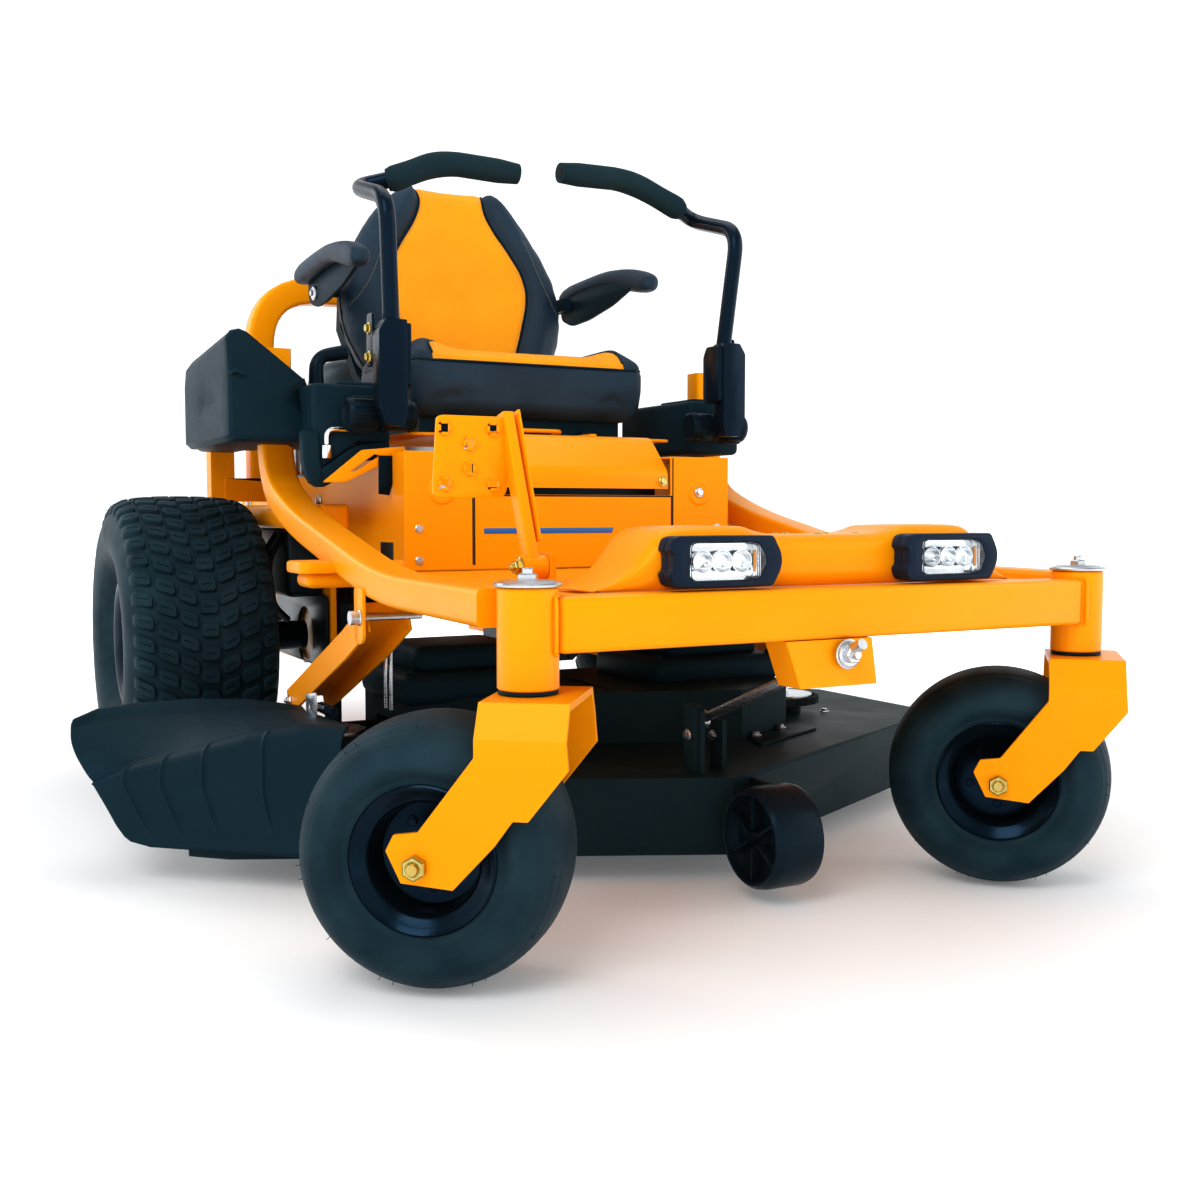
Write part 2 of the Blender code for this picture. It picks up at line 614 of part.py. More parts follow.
CHUTE_SKIN = [
    [(-0.470, 0.367, 0.050), (-0.690, 0.5685, 0.050), (-0.716, 0.628, 0.050),
     (-0.716, 0.680, 0.050), (-0.688, 0.712, 0.050), (-0.470, 0.712, 0.050)],
    [(-0.470, 0.367, 0.100), (-0.722, 0.599, 0.100), (-0.745, 0.630, 0.100),
     (-0.733, 0.686, 0.100), (-0.690, 0.712, 0.100), (-0.470, 0.712, 0.100)],
    [(-0.470, 0.367, 0.212), (-0.705, 0.583, 0.183), (-0.752, 0.632, 0.178),
     (-0.738, 0.688, 0.193), (-0.690, 0.712, 0.212), (-0.470, 0.712, 0.212)]]
CHUTE_HOLLOW = [
    [(-0.400, 0.3105, 0.000), (-0.6868, 0.5735, 0.000), (-0.710, 0.6285, 0.000),
     (-0.710, 0.680, 0.000), (-0.690, 0.760, 0.000), (-0.400, 0.760, 0.000)],
    [(-0.400, 0.3105, 0.100), (-0.718, 0.6045, 0.100), (-0.7385, 0.6315, 0.100),
     (-0.728, 0.682, 0.100), (-0.690, 0.760, 0.100), (-0.400, 0.760, 0.100)],
    [(-0.400, 0.3105, 0.206), (-0.701, 0.588, 0.176), (-0.745, 0.634, 0.1725),
     (-0.733, 0.684, 0.1834), (-0.690, 0.760, 0.206), (-0.400, 0.760, 0.206)]]


def discharge_chute():
    """Moulded hood over the deck's right corner, open below, behind and inside."""
    chute = loft("discharge_chute", CHUTE_SKIN, "plastic")
    cut(chute, loft("chute_hollow", CHUTE_HOLLOW))


def deck_links():
    """Rod from the beam to the deck's nose, and a trailing arm at each side."""
    rod("hanger_rod", (ROD_X, -0.062, 0.336), (ROD_X, 0.266, 0.206), 0.0065, "zinc", sides=10)
    for name, side in SIDES.items():
        low, high = sorted((0.364 * side, 0.424 * side))
        path = [(0.405, 0.348), (0.50, 0.304), (0.785, 0.190)]
        arm = prism("deck_arm_" + name, band(path, 0.040), "YZ", low, high, "yellow_paint")
        low, high = sorted((0.369 * side, 0.419 * side))
        cut(arm, prism("arm_hollow", band([(0.36, 0.348), (0.50, 0.284), (0.82, 0.157)], 0.050),
                       "YZ", low, high))
        rail = bpy.data.objects["side_rail_" + name]
        low, high = sorted((0.4265 * side, 0.4325 * side))
        join(rail, box("arm_ear", (low, 0.392, 0.330), (high, 0.418, 0.388)))


def deck_pedal():
    """Foot pedal that lifts the deck: a punched plate on a flanged arm."""
    pivot = Vector((-0.2895, 0.200, 0.416))
    plate_low, plate_high = (-0.398, 0.236, 0.497), (-0.304, 0.240, 0.592)
    pedal = box("deck_pedal", plate_low, plate_high, "yellow_paint")
    join(pedal, bar("pedal_arm", pivot, (-0.303, 0.245, 0.600), 0.014, 0.022),
         rod("pedal_hub", pivot - Vector((0.014, 0, 0)), pivot + Vector((0.016, 0, 0)), 0.014))
    for x, z in ((-0.383, 0.577), (-0.322, 0.577), (-0.352, 0.560), (-0.352, 0.531),
                 (-0.383, 0.513), (-0.322, 0.513)):
        cut(pedal, box("punch", (x - 0.006, 0.22, z - 0.006), (x + 0.006, 0.26, z + 0.006)))


# ---------------------------------------------------------------- controls
def levers():
    """Damper hub, lap-bar tube with its lever box, and foam grip on each side."""
    for name, side in SIDES.items():
        axis = (LEVER_AXIS_Y, LEVER_AXIS_Z)
        hub = rod("lever_hub_" + name, (0.245 * side, *axis), (0.3035 * side, *axis), 0.023,
                  "plastic", sides=16)
        join(hub, rod("knob", (0.303 * side, *axis), (0.352 * side, *axis), 0.028, sides=16),
             box("hub_foot", (min(0.262 * side, 0.282 * side), 0.690, 0.602),
                 (max(0.262 * side, 0.282 * side), 0.724, 0.645)))
        low, high = sorted((0.268 * side, 0.300 * side))
        lever = box("lever_" + name, (low, 0.652, 0.6620), (high, 0.700, 0.756), "black_paint")
        drop = 0.0 if side > 0 else LEVER_DROP
        path = rounded([(0.288 * side, 0.680, 0.700), (0.304 * side, 0.652, 0.945 - drop),
                        (0.306 * side, 0.792, 0.987 - drop), (0.262 * side, 0.770, 0.998 - drop)],
                       0.04, 4)
        join(lever, pipe("lever_tube", path, 0.0125, None, None, 2))
        tilt = (Vector(path[-1]) - Vector(path[-2])).normalized()
        start = Vector(path[-1]) + tilt * 0.001
        grip = [start, start + tilt * 0.012, (0.170 * side, 0.782, 1.040 - drop),
                (0.038 * side, 0.779, 1.036 - drop)]
        pipe("lever_grip_" + name, rounded(grip, 0.04, 4), 0.019, "foam", None, 2)


def small_controls():
    """Fuel cap, blade-clutch knob and the cutting-height pin."""
    cap = [(0.0, 0.030), (0.030, 0.030), (0.036, 0.024), (0.036, 0.0), (0.0, 0.0)]
    turned("fuel_cap", cap, "plastic", location=(-0.400, 1.250, 0.7005), steps=16)
    knob = [(0.0, 0.024), (0.012, 0.024), (0.016, 0.018), (0.014, 0.008), (0.006, 0.006),
            (0.006, 0.0), (0.0, 0.0)]
    turned("clutch_knob", knob, "plastic", location=(0.345, 0.775, 0.6726), steps=16)
    hook = rounded([(-0.345, 0.880, 0.6726), (-0.345, 0.880, 0.724), (-0.302, 0.880, 0.732)],
                   0.018, 3)
    pipe("height_pin", hook, 0.0095, "plastic", None, 2)


# ---------------------------------------------------------------- seat
def seat_platform():
    """Tipping plate under the seat, folded down in front to its hinge."""
    fold = [(0.6485, 0.518), (0.6485, 0.545), (0.705, 0.6015), (1.10, 0.6015)]
    plate = prism("seat_platform", band(fold, 0.005), "YZ", -0.168, 0.168, "yellow_paint")
    join(plate, box("platform_wings", (-0.235, 0.745, 0.5990), (0.235, 1.10, 0.6040)))


BACK_OUTLINE = [(0.150, 0.000), (0.192, 0.060), (0.217, 0.150), (0.208, 0.230), (0.155, 0.330),
                (0.114, 0.385), (0.058, 0.402)]
ARM_OUTLINE = [(1.183, 0.872), (1.190, 0.884), (1.186, 0.900), (1.125, 0.920), (1.035, 0.932),
               (0.980, 0.927), (0.900, 0.912), (0.882, 0.899), (0.886, 0.880), (0.945, 0.881),
               (0.985, 0.886), (1.030, 0.875), (1.100, 0.866), (1.165, 0.866)]


def seat():
    """Slide rails, moulded shell, cushion, back rest and folding arm rests."""
    base = box("seat_shell", (-0.185, 0.845, 0.6105), (0.185, 1.12, 0.6392), "plastic")
    for side in SIDES.values():
        low, high = sorted((0.105 * side, 0.135 * side))
        join(base, box("slide_rail", (low, 0.83, 0.6047), (high, 1.10, 0.6175)))
    whole = BACK_OUTLINE + [(-x, z) for x, z in BACK_OUTLINE[::-1]]
    lean = dict(location=(0, 1.080, 0.705), turn=(SEAT_LEAN, 0, 0))
    shell_outline = [(x * 0.95, z - 0.01) for x, z in whole]
    neck = prism("back_shell", shell_outline, "XZ", 0.0905, 0.118, None, **lean)
    join(base, neck, box("shell_neck", (-0.14, 1.10, 0.6175), (0.14, 1.205, 0.6390)),
         box("shell_spine", (-0.14, 1.184, 0.627), (0.14, 1.205, 0.74)))
    back = prism("seat_back", whole, "XZ", 0.0, 0.090, "vinyl", **lean)
    soften(back, 0.020, 2)
    cushion = box("seat_cushion", (-0.217, 0.796, 0.6397), (0.217, 1.074, 0.7450), "vinyl")
    soften(cushion, 0.022, 2)
    for name, side in SIDES.items():
        arm = prism("armrest_" + name, ARM_OUTLINE, "YZ", 0.252 * side, 0.288 * side, "plastic")
        soften(arm, 0.008)
        low, high = sorted((0.232 * side, 0.2512 * side))
        join(base, box("arm_bracket", (low, 1.155, 0.876), (high, 1.2365, 0.900)),
             rod("arm_cross", (0.10 * side, 1.2265, 0.888), (0.240 * side, 1.2265, 0.888),
                 0.0095, sides=10))


# ---------------------------------------------------------------- build order
front_beam()
side_rails()
rear_frame()
rear_hoop()
foot_pan()
front_cowl()
headlights()
seat_box()
tank_and_consoles()
front_hanger()
engine()
transaxles()
rear_wheels()
castors()
deck()
spindles()
anti_scalp_roller()
discharge_chute()
deck_links()
deck_pedal()
levers()
small_controls()
seat_platform()
seat()
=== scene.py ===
"""Looks of the zero turn mower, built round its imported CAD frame.

Pieces are modelled in the mower's own frame (x = 0 on the mid-plane, y = 0
through the castor pivots, z = 0 on the ground, forward = -Y, left = +X), the
frame in which the CAD's sizes are round numbers; ORIGIN moves it to the row's.
"""
import json
import math
import random

import bmesh
import bpy
from mathutils import Matrix, Vector
from mathutils.bvhtree import BVHTree


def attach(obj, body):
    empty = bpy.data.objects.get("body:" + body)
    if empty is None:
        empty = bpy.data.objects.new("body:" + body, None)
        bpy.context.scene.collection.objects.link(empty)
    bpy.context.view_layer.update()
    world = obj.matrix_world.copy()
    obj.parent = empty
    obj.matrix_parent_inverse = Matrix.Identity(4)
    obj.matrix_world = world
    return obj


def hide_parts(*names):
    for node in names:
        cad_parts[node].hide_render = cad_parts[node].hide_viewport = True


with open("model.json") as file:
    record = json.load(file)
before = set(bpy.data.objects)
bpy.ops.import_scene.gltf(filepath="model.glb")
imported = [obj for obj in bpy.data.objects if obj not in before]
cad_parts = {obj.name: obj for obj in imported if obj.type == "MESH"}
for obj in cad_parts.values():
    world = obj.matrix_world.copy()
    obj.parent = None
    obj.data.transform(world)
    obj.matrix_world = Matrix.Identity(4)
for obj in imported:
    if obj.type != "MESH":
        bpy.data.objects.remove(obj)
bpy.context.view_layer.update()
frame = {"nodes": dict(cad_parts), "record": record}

ORIGIN = Vector((0.0627, -0.8810, 0.0))
SIDES = {"left": 1, "right": -1}
CASTOR_X, CASTOR_TRAIL, CASTOR_R = 0.388, 0.0928, 0.1397
CASTOR_YAW = {"right": math.radians(52.4), "left": math.radians(45.35)}
REAR_X, REAR_Y, REAR_R = 0.5015, 1.2013, 0.254
LEVER_AXIS = (0.708, 0.624)
LEVER_DROP = 0.011            # the right lap bar sits this much lower
BACK_LEAN = math.radians(-12.0)
BACK_FOOT = Vector((0, 1.080, 0.705))
QUARTER = math.pi / 2
CHANCE = random.Random(7)


# ---------------------------------------------------------------- materials
class Finish:
    """A Principled material whose inputs are driven by procedural textures."""

    def __init__(self, name, roughness, metallic=0.0, **constants):
        self.mat = bpy.data.materials.new(name)
        self.mat.use_nodes = True
        self.tree = self.mat.node_tree
        self.shader = self.tree.nodes["Principled BSDF"]
        self.place = self.node("ShaderNodeTexCoord").outputs["Object"]
        self.set("Roughness", roughness)
        self.set("Metallic", metallic)
        for key, value in constants.items():
            self.set(key.replace("_", " "), value)
        self.height = None

    def node(self, kind, **values):
        made = self.tree.nodes.new(kind)
        for key, value in values.items():
            setattr(made, key, value)
        return made

    def link(self, source, target):
        self.tree.links.new(source, target)

    def set(self, socket, value):
        self.shader.inputs[socket].default_value = value

    def noise(self, scale, detail=3.0, stretch=None):
        source = self.place
        if stretch:
            mapping = self.node("ShaderNodeMapping")
            mapping.inputs["Scale"].default_value = stretch
            self.link(source, mapping.inputs["Vector"])
            source = mapping.outputs[0]
        made = self.node("ShaderNodeTexNoise")
        made.inputs["Scale"].default_value = scale
        made.inputs["Detail"].default_value = detail
        self.link(source, made.inputs["Vector"])
        return made.outputs["Fac"]

    def cells(self, scale, feature="F1"):
        made = self.node("ShaderNodeTexVoronoi", feature=feature)
        made.inputs["Scale"].default_value = scale
        self.link(self.place, made.inputs["Vector"])
        return made.outputs["Distance"]

    def ramp(self, value, stops, interpolation="LINEAR"):
        made = self.node("ShaderNodeValToRGB")
        made.color_ramp.interpolation = interpolation
        elements = made.color_ramp.elements
        while len(elements) < len(stops):
            elements.new(0.5)
        for element, (position, colour) in zip(elements, stops):
            element.position = position
            element.color = (*colour, 1.0)
        self.link(value, made.inputs["Fac"])
        return made.outputs["Color"]

    def colour(self, dark, light, scale=6.0, detail=4.0):
        """Drifting colour between two shades."""
        shade = self.ramp(self.noise(scale, detail), [(0.3, dark), (0.7, light)])
        self.link(shade, self.shader.inputs["Base Color"])
        return shade

    def rough(self, low, high, scale=20.0, stretch=None):
        made = self.node("ShaderNodeMapRange")
        made.inputs["To Min"].default_value = low
        made.inputs["To Max"].default_value = high
        self.link(self.noise(scale, 4.0, stretch), made.inputs["Value"])
        self.link(made.outputs[0], self.shader.inputs["Roughness"])

    def bump(self, height, distance, strength=1.0):
        made = self.node("ShaderNodeBump")
        made.inputs["Strength"].default_value = strength
        made.inputs["Distance"].default_value = distance
        self.link(height, made.inputs["Height"])
        if self.height:
            self.link(self.height, made.inputs["Normal"])
        self.height = made.outputs["Normal"]
        self.link(self.height, self.shader.inputs["Normal"])

    def math(self, operation, a, b=0.0):
        made = self.node("ShaderNodeMath", operation=operation)
        for socket, value in zip(made.inputs, (a, b)):
            if isinstance(value, (int, float)):
                socket.default_value = value
            else:
                self.link(value, socket)
        return made.outputs[0]


WARM = (1.0, 0.60, 0.10, 1.0)        # specular tints at normal view
COOL = (0.45, 0.80, 1.0, 1.0)
COLD = (0.14, 0.32, 0.55, 1.0)


def painted(name, dark, light, roughness, coat, gloss=0.5, tint=(1.0, 1.0, 1.0, 1.0)):
    """Powder coat: slight colour drift, orange peel and a clear coat."""
    look = Finish(name, roughness, Coat_Weight=coat, Coat_Roughness=0.12, Specular_IOR_Level=gloss,
                  Specular_Tint=tint)
    look.colour(dark, light, 3.0)
    look.rough(roughness - 0.05, roughness + 0.08, 14.0)
    look.bump(look.noise(420.0, 2.0), 0.00025, 0.35)
    look.bump(look.noise(38.0, 2.0), 0.0006, 0.12)
    return look.mat


def moulded(name, dark, light, roughness, grain=900.0, depth=0.00035):
    """Textured plastic."""
    look = Finish(name, roughness, Specular_IOR_Level=0.11, Specular_Tint=COOL)
    look.colour(dark, light, 5.0)
    look.rough(roughness - 0.06, roughness + 0.08, 60.0)
    look.bump(look.cells(grain), depth, 0.32)
    look.bump(look.noise(grain * 0.4, 3.0), depth * 1.5, 0.15)
    return look.mat


def plated(name, dark, light, roughness, stretch=None):
    """Plated steel with fine drawing lines and clouding."""
    look = Finish(name, roughness, 1.0)
    look.colour(dark, light, 24.0)
    look.rough(roughness - 0.06, roughness + 0.12, 60.0, stretch)
    look.bump(look.noise(500.0, 2.0, stretch), 0.0002, 0.3)
    return look.mat


def rubber(name, dark, light, roughness):
    """Moulded rubber with a drifting colour, fine grain and varied roughness."""
    look = Finish(name, roughness, Specular_IOR_Level=0.16, Specular_Tint=COOL)
    look.colour(dark, light, 18.0, 6.0)
    look.rough(roughness - 0.10, roughness + 0.12, 30.0)
    look.bump(look.noise(700.0, 3.0), 0.0003, 0.5)
    look.bump(look.noise(45.0, 3.0), 0.0010, 0.25)
    return look.mat


def vinyl(name, panel=None):
    """Grained vinyl; panel gives where a yellow middle panel takes over."""
    look = Finish(name, 0.46, Specular_IOR_Level=0.22)
    look.rough(0.40, 0.56, 40.0)
    grain = look.cells(640.0, "DISTANCE_TO_EDGE")
    look.bump(look.math("MINIMUM", grain, 0.25), 0.0010, 0.55)
    look.bump(look.noise(30.0, 3.0), 0.0012, 0.25)
    black = look.colour((0.010, 0.026, 0.045), (0.017, 0.040, 0.065), 9.0)
    if panel:
        mask = panel(look)
        yellow = look.ramp(look.noise(7.0), [(0.3, (0.84, 0.315, 0.002)), (0.7, (0.94, 0.375, 0.004))])
        mix = look.node("ShaderNodeMix", data_type="RGBA")
        look.link(mask, mix.inputs["Factor"])
        look.link(black, mix.inputs[6])
        look.link(yellow, mix.inputs[7])
        look.link(mix.outputs[2], look.shader.inputs["Base Color"])
    return look.mat


def clear_lens():
    look = Finish("lens_clear", 0.04, Transmission_Weight=1.0, IOR=1.35)
    look.colour((0.93, 0.96, 0.98), (1.0, 1.0, 1.0), 10.0)
    look.bump(look.noise(120.0, 1.0), 0.0002, 0.2)
    return look.mat


YELLOW = painted("paint_yellow", (0.90, 0.300, 0.0010), (0.98, 0.350, 0.0014), 0.36, 0.06, 0.5, WARM)
BLACK = painted("paint_black", (0.003, 0.007, 0.012), (0.006, 0.012, 0.020), 0.24, 0.0, 0.34, COLD)
DECK_BLACK = painted("paint_deck", (0.012, 0.024, 0.030), (0.020, 0.038, 0.046), 0.40, 0.0, 0.03, COLD)
RIM_BLACK = painted("paint_rim", (0.002, 0.005, 0.008), (0.004, 0.009, 0.013), 0.18, 0.0, 0.45, COLD)
ENGINE_BLACK = painted("paint_engine", (0.008, 0.011, 0.014), (0.014, 0.018, 0.022), 0.38, 0.0, 0.4,
                       COOL)
PLASTIC = moulded("plastic_black", (0.007, 0.020, 0.029), (0.011, 0.029, 0.041), 0.50)
SMOOTH_PLASTIC = moulded("plastic_smooth", (0.006, 0.012, 0.018), (0.010, 0.018, 0.027), 0.28, 1500.0,
                         0.0001)
LAMP = moulded("plastic_lamp", (0.010, 0.016, 0.030), (0.016, 0.023, 0.040), 0.36, 1300.0, 0.0002)
FOAM = moulded("foam_black", (0.010, 0.023, 0.029), (0.016, 0.034, 0.041), 0.72, 1500.0, 0.0005)
TYRE = rubber("rubber_tyre", (0.009, 0.021, 0.029), (0.019, 0.040, 0.051), 0.55)
BELT = rubber("rubber_belt", (0.008, 0.008, 0.009), (0.020, 0.020, 0.021), 0.8)
ZINC = plated("zinc_plate", (0.52, 0.55, 0.58), (0.70, 0.72, 0.75), 0.26, (1.0, 1.0, 8.0))
CHROME = plated("chrome_plate", (0.72, 0.75, 0.78), (0.84, 0.86, 0.88), 0.10)
GOLD = plated("zinc_yellow", (0.52, 0.36, 0.10), (0.66, 0.62, 0.22), 0.24)
THREAD = moulded("thread", (0.30, 0.24, 0.12), (0.42, 0.34, 0.18), 0.7, 2500.0, 0.0001)
CAST = plated("cast_alloy", (0.34, 0.36, 0.38), (0.48, 0.50, 0.52), 0.46)
LENS = clear_lens()
BLUE = painted("stripe_blue", (0.000, 0.115, 0.40), (0.002, 0.135, 0.46), 0.30, 0.4)
# near-black strips of painted shade for the seat box's panel gaps
GAP_SHADE = painted("gap_shade_paint", (0.010, 0.006, 0.002), (0.016, 0.010, 0.004), 0.7, 0.0)


# ---------------------------------------------------------------- outlines
def rounded(points, reach, steps=5, closed=False):
    """Replace each corner of a path by a short curve that starts reach before it."""
    points = [Vector(p) for p in points]
    count = len(points)
    path = []
    for i, corner in enumerate(points):
        if not closed and i in (0, count - 1):
            path.append(corner)
            continue
        before = points[i - 1] - corner
        after = points[(i + 1) % count] - corner
        start = corner + before.normalized() * min(reach, before.length * 0.49)
        end = corner + after.normalized() * min(reach, after.length * 0.49)
        for step in range(steps + 1):
            t = step / steps
            path.append(start * (1 - t) ** 2 + corner * 2 * t * (1 - t) + end * t ** 2)
    return [tuple(p) for p in path]


def smoothed(points, steps=6):
    """A Catmull-Rom curve through the points."""
    points = [Vector(p) for p in points]
    padded = [points[0] * 2 - points[1]] + points + [points[-1] * 2 - points[-2]]
    path = []
    for a, b, c, d in zip(padded, padded[1:], padded[2:], padded[3:]):
        for step in range(steps):
            t = step / steps
            path.append(0.5 * (b * 2 + (c - a) * t + (a * 2 - b * 5 + c * 4 - d) * t * t
                               + (b * 3 - a - c * 3 + d) * t ** 3))
    return [tuple(p) for p in path + [points[-1]]]


def interpolate(table, value):
    """Read a table of (key, value) pairs in a straight line between its keys."""
    for (a, low), (b, high) in zip(table, table[1:]):
        if value <= b:
            t = max(0.0, (value - a) / (b - a))
            return low + (high - low) * t
    return table[-1][1]


def rectangle(width, height, radius, steps=3):
    """A rounded rectangle round the origin."""
    w, h = width / 2, height / 2
    return rounded([(-w, -h), (w, -h), (w, h), (-w, h)], radius, steps, closed=True)


def circle(radius, sides=16, centre=(0.0, 0.0)):
    return [(centre[0] + radius * math.cos(2 * math.pi * i / sides),
             centre[1] + radius * math.sin(2 * math.pi * i / sides)) for i in range(sides)]


# ---------------------------------------------------------------- solids
PLANES = {"XY": Matrix(((1, 0, 0), (0, 1, 0), (0, 0, 1))).to_4x4(),
          "YZ": Matrix(((0, 0, 1), (1, 0, 0), (0, 1, 0))).to_4x4(),
          "XZ": Matrix(((1, 0, 0), (0, 0, -1), (0, 1, 0))).to_4x4()}
NORMALS = {"XY": Vector((0, 0, 1)), "YZ": Vector((1, 0, 0)), "XZ": Vector((0, 1, 0))}


def from_curve(curve):
    """The welded bmesh of a curve."""
    obj = bpy.data.objects.new("curve", curve)
    bpy.context.scene.collection.objects.link(obj)
    graph = bpy.context.evaluated_depsgraph_get()
    mesh = bpy.data.meshes.new_from_object(obj.evaluated_get(graph))
    bm = bmesh.new()
    bm.from_mesh(mesh)
    bpy.data.meshes.remove(mesh)
    bpy.data.objects.remove(obj, do_unlink=True)
    bpy.data.curves.remove(curve)
    bmesh.ops.remove_doubles(bm, verts=bm.verts, dist=1e-5)
    return bm


def slab(outlines, plane, near, far, edge=0.001):
    """Flat outlines (the first one solid, the others holes) with rounded edges."""
    curve = bpy.data.curves.new("slab", "CURVE")
    curve.dimensions = "2D"
    curve.fill_mode = "BOTH"
    curve.extrude = abs(far - near) / 2 - edge
    curve.bevel_depth = edge
    curve.bevel_resolution = 1
    curve.offset = -edge
    for outline in outlines:
        spline = curve.splines.new("POLY")
        spline.points.add(len(outline) - 1)
        for point, (a, b) in zip(spline.points, outline):
            point.co = (a, b, 0.0, 1.0)
        spline.use_cyclic_u = True
    middle = Matrix.Translation(NORMALS[plane] * (near + far) / 2)
    return moved(from_curve(curve), middle @ PLANES[plane])


def tube(points, radius, resolution=3, radii=None):
    """A round tube with closed ends along a path."""
    curve = bpy.data.curves.new("tube", "CURVE")
    curve.dimensions = "3D"
    curve.bevel_depth = radius
    curve.bevel_resolution = resolution
    curve.use_fill_caps = True
    spline = curve.splines.new("POLY")
    spline.points.add(len(points) - 1)
    for i, (point, place) in enumerate(zip(spline.points, points)):
        point.co = (*place, 1.0)
        point.radius = radii[i] if radii else 1.0
    return from_curve(curve)


def block(low, high, edge=0.0015, segments=2):
    """A box between two corners with rounded edges."""
    low, high = Vector(low), Vector(high)
    bm = bmesh.new()
    bmesh.ops.create_cube(bm, size=1.0)
    size = high - low
    moved(bm, Matrix.Translation((low + high) / 2) @ Matrix.Diagonal((*size, 1.0)))
    bmesh.ops.bevel(bm, geom=bm.edges[:], offset=min(edge, min(size) * 0.45), segments=segments,
                    affect="EDGES", profile=0.5)
    return bm


def lathe(profile, steps=64, ring=False):
    """A profile of (radius, height) points turned about Z."""
    bm = bmesh.new()
    rows = []
    for radius, height in profile:
        if radius < 1e-6:
            rows.append([bm.verts.new((0, 0, height))] * steps)
            continue
        rows.append([bm.verts.new((radius * math.cos(2 * math.pi * i / steps),
                                   radius * math.sin(2 * math.pi * i / steps), height))
                     for i in range(steps)])
    pairs = list(zip(rows, rows[1:]))
    if ring:
        pairs.append((rows[-1], rows[0]))
    for low, high in pairs:
        for i in range(steps):
            j = (i + 1) % steps
            corners = list(dict.fromkeys((low[i], low[j], high[j], high[i])))
            if len(corners) > 2:
                bm.faces.new(corners)
    return bm


def sweep(path, section, across):
    """A closed section carried along a path; across is the section's fixed side."""
    across = Vector(across).normalized()
    path = [Vector(p) for p in path]
    bm = bmesh.new()
    rows = []
    for i, point in enumerate(path):
        before = (point - path[i - 1]).normalized() if i else None
        after = (path[i + 1] - point).normalized() if i < len(path) - 1 else None
        along = ((before or after) + (after or before)).normalized()
        up = across.cross(along)
        stretch = 1.0 / max(0.4, along.dot(after or before))
        rows.append([bm.verts.new(point + across * a + up * b * stretch) for a, b in section])
    for low, high in zip(rows, rows[1:]):
        for i in range(len(section)):
            j = (i + 1) % len(section)
            bm.faces.new((low[i], low[j], high[j], high[i]))
    bm.faces.new(rows[0][::-1])
    bm.faces.new(rows[-1])
    return bm


def moved(bm, matrix):
    bmesh.ops.transform(bm, matrix=matrix, verts=bm.verts)
    return bm


def merged(*parts):
    """All the parts in one bmesh."""
    whole = bmesh.new()
    for part in parts:
        mesh = bpy.data.meshes.new("part")
        part.to_mesh(mesh)
        part.free()
        whole.from_mesh(mesh)
        bpy.data.meshes.remove(mesh)
    return whole


def aimed(point, direction):
    """The matrix that takes the origin to a point and +Z to a direction."""
    turn = Vector(direction).to_track_quat("Z", "Y").to_matrix().to_4x4()
    return Matrix.Translation(Vector(point)) @ turn


def hexagon(radius, low, high):
    """A hexagon head or nut with its corners chamfered."""
    edge = radius * 0.12
    return lathe([(0, low), (radius, low), (radius, high - edge), (radius - edge, high), (0, high)], 6)


def bolt(point, direction, size=0.006, stud=False):
    """A flanged hexagon bolt head, or a nut with its stud's end."""
    washer = lathe([(0, 0), (size * 1.45, 0), (size * 1.45, size * 0.15), (size * 1.25, size * 0.3),
                    (0, size * 0.3)], 20)
    parts = [washer, hexagon(size, size * 0.25, size * 0.95)]
    if stud:
        parts.append(lathe([(0, size * 0.9), (size * 0.5, size * 0.9), (size * 0.5, size * 1.35),
                            (size * 0.4, size * 1.5), (0, size * 1.5)], 12))
    return moved(merged(*parts), aimed(point, direction))


def piece(name, bm, look, body, stands_for=(), matrix=None, smooth=35.0):
    """Make a piece of the mower from a bmesh, in the mower's frame."""
    bmesh.ops.recalc_face_normals(bm, faces=bm.faces)
    mesh = bpy.data.meshes.new(name)
    bm.to_mesh(mesh)
    bm.free()
    mesh.shade_smooth()
    mesh.set_sharp_from_angle(angle=math.radians(smooth))
    mesh.materials.append(look)
    obj = bpy.data.objects.new(name, mesh)
    bpy.context.scene.collection.objects.link(obj)
    obj.matrix_world = Matrix.Translation(ORIGIN) @ (matrix or Matrix.Identity(4))
    if stands_for:
        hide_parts(*stands_for)
    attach(obj, body)
    return obj


def body_of(node):
    return next(body for body, nodes in frame["record"]["behaviour"]["bodies"].items()
                if node in nodes)


def dressed(node, look, edge=0.0015, angle=32.0):
    """Stand in for a CAD node with its own shape, its flats whole and edges rounded."""
    bm = bmesh.new()
    bm.from_mesh(frame["nodes"][node].data)
    moved(bm, Matrix.Translation(-ORIGIN))
    bmesh.ops.remove_doubles(bm, verts=bm.verts, dist=1e-5)
    bmesh.ops.dissolve_limit(bm, angle_limit=math.radians(1.0), verts=bm.verts, edges=bm.edges)
    obj = piece("skin_" + node, bm, look, body_of(node), (node,), smooth=angle)
    mod = obj.modifiers.new("edges", "BEVEL")
    mod.width = edge
    mod.segments = 2
    mod.limit_method = "ANGLE"
    mod.angle_limit = math.radians(angle)
    mod.harden_normals = True
    return obj


def repaint(node, look):
    """Keep a CAD node's shape and give it a better finish."""
    mesh = frame["nodes"][node].data
    mesh.materials.clear()
    mesh.materials.append(look)


